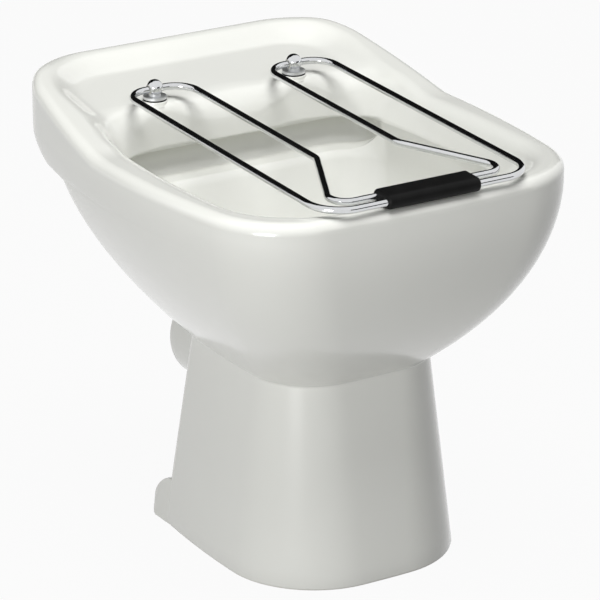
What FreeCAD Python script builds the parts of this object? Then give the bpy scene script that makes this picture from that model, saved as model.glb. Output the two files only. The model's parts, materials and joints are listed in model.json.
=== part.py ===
"""Floor-standing slop hopper: a one-piece china pan with a hinged chrome bucket grate.

Millimetres, +Z up, floor at Z = 0, front towards -Y, wall side towards +Y, X = 0 the plane of symmetry.
"""
import FreeCAD
import Part
import Sketcher
import math
import os

# Driving sizes: name, value, meaning
SIZES = [
    ("rim_half_width", 202, "half width of the bowl at the rim"),
    ("rim_front", 242, "front of the rim, ahead of the middle"),
    ("deck_rear", 242, "rear of the deck, behind the middle"),
    ("rim_level", 402.5, "top of the rim beside the bowl"),
    ("front_level", 404, "top of the rim at the front"),
    ("deck_level", 440, "top of the rear edge of the deck"),
    ("wall_level", 386.5, "level where the bowl's outside turns upright"),
    ("rise_start", 36, "where the side edge starts to rise, behind the middle"),
    ("rise_end", 208, "where the side edge reaches the deck, behind the middle"),
    ("rise_radius", 73, "both bends of the rising side edge"),
    ("front_dip", 65, "where the front slope of the rim ends, ahead of the middle"),
    ("rim_edge_radius", 11, "rounding of the outer top edge"),
    ("front_bow_radius", 1000, "bow of front edges in plan"),
    ("side_bow_radius", 1000, "bow of side edges in plan"),
    ("rim_front_corner", 92, "front corner of the rim in plan"),
    ("rim_rear_corner", 87, "rear corner of the deck in plan"),
    ("neck_level", 199.5, "crease between bowl and pedestal"),
    ("neck_half_width", 94.5, "half width of the neck"),
    ("neck_front", 139.5, "front of the neck"),
    ("neck_rear", 54.5, "rear of the neck"),
    ("neck_front_corner", 64, "front corner of the neck in plan"),
    ("neck_rear_corner", 16, "rear corner of the neck in plan"),
    ("bowl_rear", 185.5, "rear of the bowl's outside under the deck"),
    ("side_belly", 1.75, "exponent of the bowl's side curve"),
    ("front_belly", 2.33, "exponent of the bowl's front curve"),
    ("rear_belly", 1.54, "exponent of the bowl's rear curve"),
    ("overhang_start", 0.86, "share of the bowl's height where the deck overhang starts"),
    ("overhang_inset", 22, "how far the overhang's lower edge draws in"),
    ("overhang_belly", 2.0, "exponent of the overhang's rounded edge"),
    ("foot_half_width", 118.5, "half width of the pedestal on the floor"),
    ("foot_front", 167, "front of the pedestal on the floor"),
    ("foot_rear", 73.5, "rear of the pedestal on the floor"),
    ("foot_front_corner", 94, "front corner of the foot in plan"),
    ("foot_rear_corner", 16, "rear corner of the foot in plan"),
    ("china_wall", 13, "wall of the hollow casting"),
    ("hollow_end", 0.6, "share of the bowl's height where the hollow ends"),
    ("mouth_half_width", 169, "half width of the bowl's mouth at rim level"),
    ("mouth_front", 216, "front of the bowl's mouth at rim level"),
    ("mouth_rear", 114, "rear of the bowl's mouth at rim level"),
    ("mouth_front_corner", 84, "front corner of the mouth in plan"),
    ("mouth_rear_corner", 54, "rear corner of the mouth in plan"),
    ("ledge_level", 370, "lower edge of the rear apron, over the flush slot"),
    ("ledge_half_width", 151, "half width of the bowl at the ledge"),
    ("ledge_front", 200, "front of the bowl at the ledge"),
    ("ledge_rear", 108, "rear of the bowl at the ledge"),
    ("ledge_front_corner", 76, "front corner of the bowl at the ledge"),
    ("ledge_rear_corner", 46, "rear corner of the bowl at the ledge"),
    ("sump_level", 200, "top of the round sump"),
    ("sump_radius", 36, "radius of the sump"),
    ("sump_roundness", 0.94, "corner of the sump's plan as a share of its radius"),
    ("sump_ahead", 35, "sump axis ahead of the middle"),
    ("funnel_belly", 1.9, "exponent of the funnel's side and front curve"),
    ("funnel_rear_belly", 1.1, "exponent of the funnel's rear slope"),
    ("slot_height", 30, "height of the flush slot under the ledge"),
    ("slot_half_width", 125, "half width of the flush slot"),
    ("slot_rear", 130, "back wall of the flush slot"),
    ("riser_half_width", 56, "half width of the flush riser"),
    ("riser_rear", 172, "back wall of the flush riser"),
    ("inlet_level", 388, "axis of the flush inlet"),
    ("inlet_radius", 19, "radius of the flush inlet"),
    ("trap_radius", 33, "radius of the water way through the trap"),
    ("trap_wall", 10, "china round the water way"),
    ("trap_bend", 44, "centre radius of the trap's bends"),
    ("trap_low", 62, "lowest axis of the trap"),
    ("trap_rear", 57, "rising leg of the trap, behind the middle"),
    ("trap_high", 158, "axis of the water way over the weir"),
    ("outlet_radius", 51, "outside radius of the waste spigot"),
    ("outlet_bore", 45, "inside radius of the waste spigot"),
    ("outlet_level", 153, "axis of the waste spigot"),
    ("outlet_end", 157, "end of the waste spigot, behind the middle"),
    ("spigot_root", 1, "how far the spigot's collar reaches into the neck's rear wall"),
    ("collar_end", 101, "end of the collar at the spigot's root, just behind the trap's rising leg"),
    ("collar_step", 3, "collar outside the spigot, on the radius"),
    ("outlet_socket", 40, "depth of the spigot's wide bore"),
    ("lug_inner", 68, "inner side of a foot lug"),
    ("lug_outer", 111, "outer side of a foot lug"),
    ("lug_front", 45, "front of a foot lug, inside the pedestal"),
    ("lug_rear", 90, "rear of a foot lug"),
    ("lug_height", 47, "height of a foot lug"),
    ("lug_round", 36, "rounding of a lug's top rear edge"),
    ("screw_spacing", 194, "distance between the floor screw holes"),
    ("screw_rear", 79, "floor screw holes, behind the middle"),
    ("screw_hole_radius", 5, "floor screw hole"),
    ("screw_head_radius", 8.5, "recess for the screw's head"),
    ("screw_head_depth", 29, "depth of that recess"),
    ("dish_front", 113, "front edge of the deck's dished floor"),
    ("dish_front_level", 408.5, "level of the dish at its front edge"),
    ("dish_rear", 231, "rear edge of the dished floor"),
    ("dish_rear_level", 427.5, "level of the dish at its rear edge"),
    ("dish_half_width", 172, "half width of the dish"),
    ("dish_corner", 76, "rear corner of the dish in plan"),
    ("boss_radius", 12.5, "flat boss under a hinge post"),
    ("boss_level", 414.5, "top of that boss"),
    ("post_rear", 130, "hinge axis, behind the middle"),
    ("hinge_level", 425.5, "hinge axis above the floor"),
    ("post_hole_radius", 8, "blind hole in the deck"),
    ("post_hole_depth", 38, "depth of that hole"),
    ("gasket_thickness", 1.5, "rubber ring under a post"),
    ("flange_radius", 11.5, "flange of a post"),
    ("flange_height", 2.5, "height of the flange"),
    ("post_neck_radius", 6, "neck of a post"),
    ("head_radius", 8.2, "ball head of a post"),
    ("head_rise", 1.2, "centre of the head above the hinge axis"),
    ("shank_radius", 4, "threaded shank of a post"),
    ("shank_length", 36, "shank below the flange"),
    ("rod_radius", 3.5, "grate rod"),
    ("bush_wall", 1.2, "wall of the nylon bush"),
    ("bush_length", 13, "length of the nylon bush"),
    ("hinge_clearance", 0.05, "rod in its bush, on the radius"),
    ("seat_clearance", 0.1, "fixed pieces in their holes, on the radius"),
    ("plug_length", 26, "rubber plug in the deck hole"),
    ("nut_length", 9, "brass wedge nut under the plug"),
    ("nut_small_radius", 5.6, "small end of the wedge nut"),
    ("nut_large_radius", 7.4, "large end of the wedge nut"),
    ("outer_rod_half", 113.5, "outer straight of the grate"),
    ("inner_rod_half", 45, "inner straight of the grate"),
    ("grate_reach", 365.5, "hinge axis to the outer front bar"),
    ("bar_spacing", 17, "outer to inner front bar"),
    ("inner_reach", 240, "hinge axis to the bend of the inner straight"),
    ("inner_corner_half", 99, "front corner of the inner loop"),
    ("hinge_bend", 24, "bends beside the hinge posts"),
    ("outer_bend", 32, "front bends of the outer loop"),
    ("inner_bend", 16, "front bends of the inner loop"),
    ("jog_bend", 20, "bends where the inner straight turns out"),
    ("pad_length", 100, "length of the rubber pad"),
    ("pad_width", 30, "width of the rubber pad"),
    ("pad_height", 14, "height of the rubber pad"),
    ("pad_round", 6.5, "rounding of the pad's section"),
    ("pad_end_round", 3, "rounding of the pad's ends"),
    ("rest_gap", 0.3, "gap between the resting pad and the rim"),
]

doc = FreeCAD.newDocument("slop_hopper")
sheet = doc.addObject("Spreadsheet::Sheet", "Sizes")
for row, (alias, number, meaning) in enumerate(SIZES, start=1):
    sheet.set(f"A{row}", alias)
    sheet.set(f"B{row}", str(number))
    sheet.set(f"C{row}", meaning)
    sheet.setAlias(f"B{row}", alias)
doc.recompute()

ORIGIN = (-1, 1)
VERTICAL_AXIS = -2
START, END, CENTRE = 1, 2, 3


def value(expression):
    """The number that an expression on the sheet's names gives."""
    result = sheet.evalExpression(expression)
    return float(getattr(result, "Value", result))


def named(expression):
    """Puts the sheet's name before each of its aliases in an expression."""
    words = []
    word = ""
    for letter in expression + " ":
        if letter.isalnum() or letter == "_":
            word += letter
            continue
        words.append("Sizes." + word if word in ALIASES else word)
        words.append(letter)
        word = ""
    return "".join(words).strip()


ALIASES = {alias for alias, number, meaning in SIZES}


def size(expression):
    return value(named(str(expression)))


def plane_of(body, role):
    return next(item for item in body.Origin.OriginFeatures if item.Role == role)


def new_body(label):
    body = doc.addObject("PartDesign::Body", label)
    body.Label = label
    return body


def new_sketch(body, name, role, offset="0"):
    """A sketch on one of the body's own planes, moved along that plane's normal."""
    sketch = body.newObject("Sketcher::SketchObject", name)
    sketch.AttachmentSupport = [(plane_of(body, role), "")]
    sketch.MapMode = "FlatFace"
    sketch.setExpression("AttachmentOffset.Base.z", named(str(offset)))
    return sketch


def drive(sketch, kind, places, expression):
    """A dimension of the sketch, bound to an expression on the sheet."""
    number = size(expression)
    index = sketch.addConstraint(Sketcher.Constraint(kind, *places, number))
    sketch.setExpression(f"Constraints[{index}]", named(str(expression)))


def place_point(sketch, point, across, along):
    """Fixes a point of the sketch at two expressions."""
    for kind, expression in (("DistanceX", across), ("DistanceY", along)):
        if size(expression) >= 0:
            drive(sketch, kind, ORIGIN + point, expression)
        else:
            drive(sketch, kind, point + ORIGIN, f"-({expression})")


def profile(body, name, role, corners, offset="0", closed=True):
    """A chain of straight lines through corners (across, along, radius); a radius of "" keeps a corner sharp."""
    sketch = new_sketch(body, name, role, offset)
    points = [FreeCAD.Vector(size(x), size(y), 0) for x, y, radius in corners]
    count = len(points)
    ends = []
    for index, (x, y, radius) in enumerate(corners):
        here = points[index]
        if radius == "":
            ends.append((here, here, None))
            continue
        back = (points[index - 1] - here).normalize()
        ahead = (points[(index + 1) % count] - here).normalize()
        half_angle = back.getAngle(ahead) / 2
        reach = size(radius) / math.tan(half_angle)
        middle = here + (back + ahead).normalize() * (size(radius) / math.sin(half_angle))
        ends.append((here + back * reach, here + ahead * reach, middle))
    lines = []
    for index in range(count if closed else count - 1):
        segment = Part.LineSegment(ends[index][1], ends[(index + 1) % count][0])
        lines.append(sketch.addGeometry(segment))
    for index, (x, y, radius) in enumerate(corners):
        inner = closed or 0 < index < count - 1
        into = lines[index - 1] if closed or index > 0 else None
        out = lines[index] if closed or index < count - 1 else None
        if radius == "":
            if inner:
                sketch.addConstraint(Sketcher.Constraint("Coincident", into, END, out, START))
            place_point(sketch, (out, START) if out is not None else (into, END), x, y)
            continue
        first, last, middle = ends[index]
        circle = Part.Circle(middle, FreeCAD.Vector(0, 0, 1), size(radius))
        turn = (first - middle).cross(last - middle).z
        begin, finish = (first, last) if turn > 0 else (last, first)
        arc = Part.ArcOfCircle(circle, circle.parameter(begin), circle.parameter(finish))
        bend = sketch.addGeometry(arc)
        near, far = (START, END) if turn > 0 else (END, START)
        sketch.addConstraint(Sketcher.Constraint("Tangent", into, END, bend, near))
        sketch.addConstraint(Sketcher.Constraint("Tangent", bend, far, out, START))
        drive(sketch, "Radius", (bend,), radius)
        vertex = sketch.addGeometry(Part.Point(points[index]), True)
        sketch.addConstraint(Sketcher.Constraint("PointOnObject", vertex, START, into))
        sketch.addConstraint(Sketcher.Constraint("PointOnObject", vertex, START, out))
        place_point(sketch, (vertex, START), x, y)
    return sketch


def outline(body, name, level, half, front, rear, front_corner, rear_corner, widest=""):
    """A plan of the pan: bowed front and sides, straight rear, four round corners, mirrored about X = 0."""
    sketch = new_sketch(body, name, "XY_Plane", level)
    bow = "front_bow_radius"
    side = "side_bow_radius"
    middle = widest or f"(({rear}) - ({front})) / 2"
    front_y = -size(front)
    rear_y = size(rear)
    bow_centre = FreeCAD.Vector(0, front_y + size(bow), 0)
    side_centre = FreeCAD.Vector(size(half) - size(side), size(middle), 0)
    radius_front = size(front_corner)
    radius_rear = size(rear_corner)
    # the front corner touches the bowed front and the bowed side from inside
    reach_bow = size(bow) - radius_front
    reach_side = size(side) - radius_front
    gap = side_centre - bow_centre
    span = gap.Length
    along = (reach_bow ** 2 - reach_side ** 2 + span ** 2) / (2 * span)
    aside = math.sqrt(reach_bow ** 2 - along ** 2)
    unit = FreeCAD.Vector(gap).normalize()
    across = FreeCAD.Vector(-unit.y, unit.x, 0)
    corner = max((bow_centre + unit * along + across * aside * sign for sign in (1, -1)), key=lambda p: -p.y)
    rear_centre_y = rear_y - radius_rear
    rear_reach = size(side) - radius_rear
    rear_x = side_centre.x + math.sqrt(rear_reach ** 2 - (rear_centre_y - side_centre.y) ** 2)
    rear_centre = FreeCAD.Vector(rear_x, rear_centre_y, 0)

    def flip(point):
        return FreeCAD.Vector(-point.x, point.y, 0)

    def arc(centre, radius, begin, finish):
        circle = Part.Circle(centre, FreeCAD.Vector(0, 0, 1), radius)
        return Part.ArcOfCircle(circle, circle.parameter(begin), circle.parameter(finish))

    def out_from(start, through, radius):
        return start + (through - start).normalize() * radius

    front_end = out_from(bow_centre, corner, size(bow))
    side_start = out_from(side_centre, corner, size(side))
    side_end = out_from(side_centre, rear_centre, size(side))
    rear_end = FreeCAD.Vector(rear_x, rear_y, 0)
    chain = [
        arc(bow_centre, size(bow), flip(front_end), front_end),
        arc(corner, radius_front, front_end, side_start),
        arc(side_centre, size(side), side_start, side_end),
        arc(rear_centre, radius_rear, side_end, rear_end),
        Part.LineSegment(rear_end, flip(rear_end)),
        arc(flip(rear_centre), radius_rear, flip(rear_end), flip(side_end)),
        arc(flip(side_centre), size(side), flip(side_end), flip(side_start)),
        arc(flip(corner), radius_front, flip(side_start), flip(front_end)),
    ]
    for piece in chain:
        sketch.addGeometry(piece)
    for index in range(len(chain)):
        following = (index + 1) % len(chain)
        sketch.addConstraint(Sketcher.Constraint("Tangent", index, END, following, START))
    for left, right in ((7, 1), (5, 3)):
        sketch.addConstraint(Sketcher.Constraint("Symmetric", left, CENTRE, right, CENTRE, VERTICAL_AXIS))
    for left, right in ((7, 1), (6, 2), (5, 3)):
        sketch.addConstraint(Sketcher.Constraint("Equal", left, right))
    drive(sketch, "Radius", (0,), bow)
    drive(sketch, "Radius", (1,), front_corner)
    drive(sketch, "Radius", (2,), side)
    drive(sketch, "Radius", (3,), rear_corner)
    drive(sketch, "DistanceY", ORIGIN + (0, CENTRE), f"{bow} - ({front})")
    drive(sketch, "DistanceX", (2, CENTRE) + ORIGIN, f"{side} - ({half})")
    drive(sketch, "DistanceY", (2, CENTRE, 0, CENTRE), f"{bow} - ({front}) - {middle}")
    drive(sketch, "DistanceY", (4, START, 0, CENTRE), f"{bow} - ({front}) - ({rear})")
    return sketch


def loft(body, name, sections, kind="PartDesign::AdditiveLoft", ruled=False):
    feature = body.newObject(kind, name)
    feature.Profile = sections[0]
    feature.Sections = sections[1:]
    feature.Ruled = ruled
    doc.recompute()
    return feature


def pad(body, name, sketch, length, symmetric=False, backwards=False):
    feature = body.newObject("PartDesign::Pad", name)
    feature.Profile = sketch
    feature.setExpression("Length", named(str(length)))
    feature.Midplane = symmetric
    feature.Reversed = backwards
    doc.recompute()
    return feature


def pocket(body, name, sketch, length, symmetric=False, backwards=False):
    before = body.Shape.Volume
    feature = body.newObject("PartDesign::Pocket", name)
    feature.Profile = sketch
    feature.setExpression("Length", named(str(length)))
    feature.Midplane = symmetric
    feature.Reversed = backwards
    doc.recompute()
    if body.Shape.Volume >= before:
        raise RuntimeError(f"{name} cuts nothing")
    return feature


def blend(start, finish, share, belly):
    """Expression that swells from start to finish as share goes from 0 to 1."""
    return f"({start} + ({finish} - {start}) * (1 - (1 - {share}) ^ {belly}))"


# The pan: one china casting
pan = new_body("pan")


def bowl_section(name, share, inset="0", rear=""):
    """Plan of the bowl's outside, or of a wall inside it, at a share of the height from neck to upright wall."""
    level = f"neck_level + (wall_level - neck_level) * {share}"
    widest = f"((neck_rear - neck_front) / 2 * (1 - {share}) + (deck_rear - rim_front) / 2 * {share})"
    plan = [
        blend("neck_half_width", "rim_half_width", share, "side_belly"),
        blend("neck_front", "rim_front", share, "front_belly"),
        rear or blend("neck_rear", "bowl_rear", share, "rear_belly"),
        blend("neck_front_corner", "rim_front_corner", share, "front_belly"),
        blend("neck_rear_corner", "rim_rear_corner", share, "side_belly"),
    ]
    return outline(pan, name, level, *[f"({item} - {inset})" for item in plan], widest=widest)


def deck_section(name, step):
    """Plan of the bowl where the deck overhangs it, at a step of the way up the overhang."""
    rear = blend("(deck_rear - overhang_inset)", "deck_rear", step, "overhang_belly")
    return bowl_section(name, f"(overhang_start + (1 - overhang_start) * {step})", rear=rear)


lower_shares = [f"(overhang_start * {step})" for step in (0, 0.15, 0.32, 0.52, 0.75, 0.92, 1)]
loft(pan, "bowl", [bowl_section(f"bowl_{index}", share) for index, share in enumerate(lower_shares)])
upper_steps = (0, 0.12, 0.3, 0.55, 0.8, 1)
loft(pan, "overhang", [deck_section(f"overhang_{index}", step) for index, step in enumerate(upper_steps)])
pad(pan, "upright_wall", deck_section("wall_plan", 1), "deck_level - wall_level + rim_edge_radius")

# Pedestal: straight flare from neck to floor
foot_sizes = ("foot_half_width", "foot_front", "foot_rear", "foot_front_corner", "foot_rear_corner")
neck_sizes = ("neck_half_width", "neck_front", "neck_rear", "neck_front_corner", "neck_rear_corner")
foot = outline(pan, "foot_plan", "0", *foot_sizes)
neck = outline(pan, "neck_plan", "neck_level", *neck_sizes)
loft(pan, "pedestal", [foot, neck], ruled=True)

# Hollow of the casting: open to the floor, up through the pedestal and round the funnel
foot_inside = outline(pan, "foot_inside", "0", *[f"({item} - china_wall)" for item in foot_sizes])
neck_inside = outline(pan, "neck_inside", "neck_level", *[f"({item} - china_wall)" for item in neck_sizes])
loft(pan, "pedestal_hollow", [foot_inside, neck_inside], "PartDesign::SubtractiveLoft", ruled=True)
hollow_shares = [f"(hollow_end * {step})" for step in (0, 0.2, 0.45, 0.7, 1)]
hollow = [bowl_section(f"hollow_{index}", share, "china_wall") for index, share in enumerate(hollow_shares)]
loft(pan, "bowl_hollow", hollow, "PartDesign::SubtractiveLoft")

# Foot lugs with their floor screw holes
for side, sign in (("left", "-1"), ("right", "1")):
    lug = profile(pan, f"lug_side_{side}", "YZ_Plane", [
        ("lug_front", "0", ""),
        ("lug_rear", "0", ""),
        ("lug_rear", "lug_height", "lug_round"),
        ("lug_front", "lug_height", ""),
    ], offset=f"{sign} * (lug_inner + lug_outer) / 2")
    pad(pan, f"lug_{side}", lug, "lug_outer - lug_inner", symmetric=True)

# Trap: a water way that dips under a lip and rises over a weir to the waste spigot
trap_route = [
    ("-sump_ahead", "sump_level", ""),
    ("-sump_ahead", "trap_low", "trap_bend"),
    ("trap_rear", "trap_low", "trap_bend"),
    ("trap_rear", "trap_high", "trap_bend"),
    ("outlet_end", "trap_high", ""),
]


def circle_sketch(name, role, offset, across, along, radius):
    sketch = new_sketch(pan, name, role, offset)
    middle = FreeCAD.Vector(size(across), size(along), 0)
    sketch.addGeometry(Part.Circle(middle, FreeCAD.Vector(0, 0, 1), size(radius)))
    drive(sketch, "Radius", (0,), radius)
    place_point(sketch, (0, CENTRE), across, along)
    return sketch


def trap_pipe(name, kind, radius):
    route = profile(pan, f"{name}_route", "YZ_Plane", trap_route, closed=False)
    ring = circle_sketch(f"{name}_ring", "XY_Plane", "sump_level", "0", "-sump_ahead", radius)
    pipe = pan.newObject(kind, name)
    pipe.Profile = ring
    pipe.Spine = route
    doc.recompute()


trap_pipe("trap_wall", "PartDesign::AdditivePipe", "trap_radius + trap_wall")
spigot = circle_sketch("spigot_ring", "XZ_Plane", "-outlet_end", "0", "outlet_level", "outlet_radius")
pad(pan, "spigot", spigot, "outlet_end - collar_end")
collar = circle_sketch("collar_ring", "XZ_Plane", "-collar_end", "0", "outlet_level", "outlet_radius + collar_step")
pad(pan, "spigot_collar", collar, "collar_end - neck_rear + spigot_root")

# Top: level rim that rises in a double bend to the rear deck
top = profile(pan, "top_edge", "YZ_Plane", [
    ("-rim_front", "front_level", ""),
    ("-front_dip", "rim_level", ""),
    ("rise_start", "rim_level", "rise_radius"),
    ("rise_end", "deck_level", "rise_radius"),
    ("deck_rear + rim_edge_radius", "deck_level", ""),
    ("deck_rear + rim_edge_radius", "deck_level + 3 * rim_edge_radius", ""),
    ("-rim_front - rim_edge_radius", "deck_level + 3 * rim_edge_radius", ""),
    ("-rim_front - rim_edge_radius", "front_level", ""),
])
pocket(pan, "top_trim", top, "2 * rim_half_width + 4 * rim_edge_radius", symmetric=True)


def round_edges(body, name, radius, chosen):
    """Rounds the edges of the body's last shape that a test picks."""
    base = body.Tip
    picked = [f"Edge{index}" for index, edge in enumerate(base.Shape.Edges, start=1) if chosen(edge)]
    feature = body.newObject("PartDesign::Fillet", name)
    feature.Base = (base, picked)
    feature.setExpression("Radius", named(radius))
    doc.recompute()
    return feature


def samples(edge, count=7):
    low, high = edge.ParameterRange
    return [edge.valueAt(low + (high - low) * step / (count - 1)) for step in range(count)]


NEAR = 0.01


def outer_top_edge(edge):
    points = samples(edge)
    if min(point.z for point in points) < size("rim_level") - NEAR:
        return False
    across = max(point.y for point in points) - min(point.y for point in points) < NEAR
    return not across or abs(points[0].y - size("deck_rear")) < NEAR


round_edges(pan, "rim_rounding", "rim_edge_radius", outer_top_edge)

# Deck: a dished floor that climbs to the rear lip
dish_run = "(dish_rear - dish_front)"
dish_rise = "(dish_rear_level - dish_front_level)"
dish_start = f"-(dish_front_level - rim_level) * {dish_run} / {dish_rise}"
dish_slope = f"sqrt({dish_run} ^ 2 + {dish_rise} ^ 2)"
dish = profile(pan, "dish_plan", "XY_Plane", [
    ("-dish_half_width", dish_start, ""),
    ("dish_half_width", dish_start, ""),
    ("dish_half_width", dish_slope, "dish_corner"),
    ("-dish_half_width", dish_slope, "dish_corner"),
])
tilt = FreeCAD.Rotation(FreeCAD.Vector(1, 0, 0), 1)
dish.AttachmentOffset = FreeCAD.Placement(FreeCAD.Vector(), tilt)
dish.setExpression("AttachmentOffset.Base.y", named("dish_front"))
dish.setExpression("AttachmentOffset.Base.z", named("dish_front_level"))
dish.setExpression("AttachmentOffset.Rotation.Angle", named(f"atan2({dish_rise}; {dish_run})"))
pocket(pan, "deck_dish", dish, "deck_level - rim_level", backwards=True)

# Mouth of the bowl, with sloping walls down to the ledge
mouth_sizes = ("mouth_half_width", "mouth_front", "mouth_rear", "mouth_front_corner", "mouth_rear_corner")
ledge_sizes = ("ledge_half_width", "ledge_front", "ledge_rear", "ledge_front_corner", "ledge_rear_corner")
mouth_share = "((deck_level - ledge_level) / (rim_level - ledge_level))"
mouth_top = [f"({low} + ({high} - {low}) * {mouth_share})" for low, high in zip(ledge_sizes, mouth_sizes)]
mouth = [outline(pan, "mouth_ledge", "ledge_level", *ledge_sizes), outline(pan, "mouth_top", "deck_level", *mouth_top)]
loft(pan, "mouth", mouth, "PartDesign::SubtractiveLoft", ruled=True)

# Flat bosses for the hinge posts
post_half = "(outer_rod_half + inner_rod_half) / 2"
for side, sign in (("left", "-1"), ("right", "1")):
    boss = circle_sketch(f"boss_{side}", "XY_Plane", "rim_level", f"{sign} * ({post_half})", "post_rear",
                         "boss_radius")
    pad(pan, f"post_boss_{side}", boss, "boss_level - rim_level")

# Funnel: from the ledge down to the round sump, with its own wall inside the hollow
sump_corner = "(sump_radius * sump_roundness)"
sump_sizes = ("sump_radius", "(sump_radius + sump_ahead)", "(sump_radius - sump_ahead)", sump_corner, sump_corner)
bellies = ("funnel_belly", "funnel_belly", "funnel_rear_belly", "funnel_belly", "funnel_belly")


def funnel_section(name, share, outset="0"):
    """Plan of the funnel's water side, or of its outer wall, at a share of the height from sump to ledge."""
    level = f"sump_level + (ledge_level - sump_level) * {share}"
    plan = [blend(low, high, share, belly) for low, high, belly in zip(sump_sizes, ledge_sizes, bellies)]
    return outline(pan, name, level, *[f"({item} + {outset})" for item in plan])


funnel_shares = (0, 0.1, 0.25, 0.45, 0.7, 1)
wall = [funnel_section(f"funnel_wall_{index}", share, "china_wall") for index, share in enumerate(funnel_shares)]
loft(pan, "funnel_wall", wall)
funnel = [funnel_section(f"funnel_{index}", share) for index, share in enumerate(funnel_shares)]
loft(pan, "funnel", funnel, "PartDesign::SubtractiveLoft")

# Flush water: inlet in the rear face, riser under the deck, wide slot under the apron
slot_floor = "ledge_level - slot_height"
slot = profile(pan, "slot_side", "YZ_Plane", [
    ("ledge_rear - slot_height", slot_floor, ""),
    ("slot_rear", slot_floor, ""),
    ("slot_rear", "ledge_level", ""),
    ("ledge_rear - slot_height", "ledge_level", ""),
])
pocket(pan, "flush_slot", slot, "2 * slot_half_width", symmetric=True)
riser = profile(pan, "riser_side", "YZ_Plane", [
    ("slot_rear - china_wall", slot_floor, ""),
    ("riser_rear", f"{slot_floor} + slot_height / 2", ""),
    ("riser_rear", "inlet_level + inlet_radius / 2", ""),
    ("slot_rear + china_wall / 2", "inlet_level + inlet_radius / 2", ""),
    ("slot_rear - china_wall", "ledge_level", ""),
])
pocket(pan, "flush_riser", riser, "2 * riser_half_width", symmetric=True)
inlet = circle_sketch("inlet_ring", "XZ_Plane", "-deck_rear - china_wall", "0", "inlet_level", "inlet_radius")
pocket(pan, "flush_inlet", inlet, "deck_rear + china_wall - riser_rear", backwards=True)

# Water way of the trap and wide bore of the spigot
trap_pipe("trap_bore", "PartDesign::SubtractivePipe", "trap_radius")
socket = circle_sketch("socket_ring", "XZ_Plane", "-outlet_end", "0", "outlet_level", "outlet_bore")
pocket(pan, "spigot_bore", socket, "outlet_socket", backwards=True)

# Holes: floor screws with a recess for the head, blind holes for the hinge posts
for side, sign in (("left", "-1"), ("right", "1")):
    screw_at = f"{sign} * screw_spacing / 2"
    screw = circle_sketch(f"screw_{side}", "XY_Plane", "0", screw_at, "screw_rear", "screw_hole_radius")
    pocket(pan, f"screw_hole_{side}", screw, "lug_height", backwards=True)
    head = circle_sketch(f"head_{side}", "XY_Plane", "lug_height - screw_head_depth", screw_at, "screw_rear",
                         "screw_head_radius")
    pocket(pan, f"screw_head_{side}", head, "screw_head_depth + lug_round", backwards=True)
    hole = circle_sketch(f"post_at_{side}", "XY_Plane", "boss_level", f"{sign} * ({post_half})", "post_rear",
                         "post_hole_radius")
    pocket(pan, f"post_hole_{side}", hole, "post_hole_depth")


# Hinge posts: ball head with a cross eye, flange on a rubber ring, shank in an expanding plug
def cylinder(name, radius, length, start="0", along_x=False):
    solid = doc.addObject("Part::Cylinder", name)
    solid.setExpression("Radius", named(radius))
    solid.setExpression("Height", named(length))
    if along_x:
        turned = FreeCAD.Rotation(FreeCAD.Vector(0, 1, 0), 90)
        solid.Placement = FreeCAD.Placement(FreeCAD.Vector(), turned)
        solid.setExpression("Placement.Base.x", named(f"-({length}) / 2"))
    solid.setExpression("Placement.Base.z", named(start))
    return solid


def join(kind, name, base, tool):
    result = doc.addObject(kind, name)
    result.Base = base
    result.Tool = tool
    return result


def put_at_post(item, sign):
    item.setExpression("Placement.Base.x", named(f"{sign} * ({post_half})"))
    item.setExpression("Placement.Base.y", named("post_rear"))
    item.setExpression("Placement.Base.z", named("boss_level"))


axis_rise = "(hinge_level - boss_level)"
eye_radius = "rod_radius + hinge_clearance + bush_wall"


def hinge_post(side):
    head = doc.addObject("Part::Sphere", f"head_{side}")
    head.setExpression("Radius", named("head_radius"))
    head.setExpression("Placement.Base.z", named(f"{axis_rise} + head_rise"))
    neck_part = cylinder(f"neck_{side}", "post_neck_radius", f"{axis_rise} - gasket_thickness", "gasket_thickness")
    flange = cylinder(f"flange_{side}", "flange_radius", "flange_height", "gasket_thickness")
    shank = cylinder(f"shank_{side}", "shank_radius", "shank_length", "gasket_thickness - shank_length")
    eye = cylinder(f"eye_{side}", eye_radius, "4 * head_radius", axis_rise, along_x=True)
    body = join("Part::Fuse", f"stem_{side}", flange, shank)
    body = join("Part::Fuse", f"stem_neck_{side}", body, neck_part)
    body = join("Part::Fuse", f"stem_head_{side}", body, head)
    return join("Part::Cut", f"hinge_post_{side}", body, eye)


def hinge_bush(side):
    shell = cylinder(f"bush_shell_{side}", eye_radius, "bush_length", axis_rise, along_x=True)
    bore = cylinder(f"bush_bore_{side}", "rod_radius + hinge_clearance", "2 * bush_length", axis_rise, along_x=True)
    return join("Part::Cut", f"hinge_bush_{side}", shell, bore)


def post_gasket(side):
    ring = cylinder(f"gasket_ring_{side}", "flange_radius", "gasket_thickness")
    bore = cylinder(f"gasket_bore_{side}", "shank_radius + seat_clearance", "gasket_thickness")
    return join("Part::Cut", f"post_gasket_{side}", ring, bore)


def post_plug(side):
    sleeve = cylinder(f"sleeve_{side}", "post_hole_radius - seat_clearance", "plug_length", "-plug_length")
    bore = cylinder(f"sleeve_bore_{side}", "shank_radius + seat_clearance", "plug_length", "-plug_length")
    return join("Part::Cut", f"post_plug_{side}", sleeve, bore)


def wedge_nut(side):
    cone = doc.addObject("Part::Cone", f"cone_{side}")
    cone.setExpression("Radius1", named("nut_large_radius"))
    cone.setExpression("Radius2", named("nut_small_radius"))
    cone.setExpression("Height", named("nut_length"))
    cone.setExpression("Placement.Base.z", named("-plug_length - nut_length"))
    bore = cylinder(f"nut_bore_{side}", "shank_radius + seat_clearance / 2", "nut_length", "-plug_length - nut_length")
    return join("Part::Cut", f"wedge_nut_{side}", cone, bore)


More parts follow.
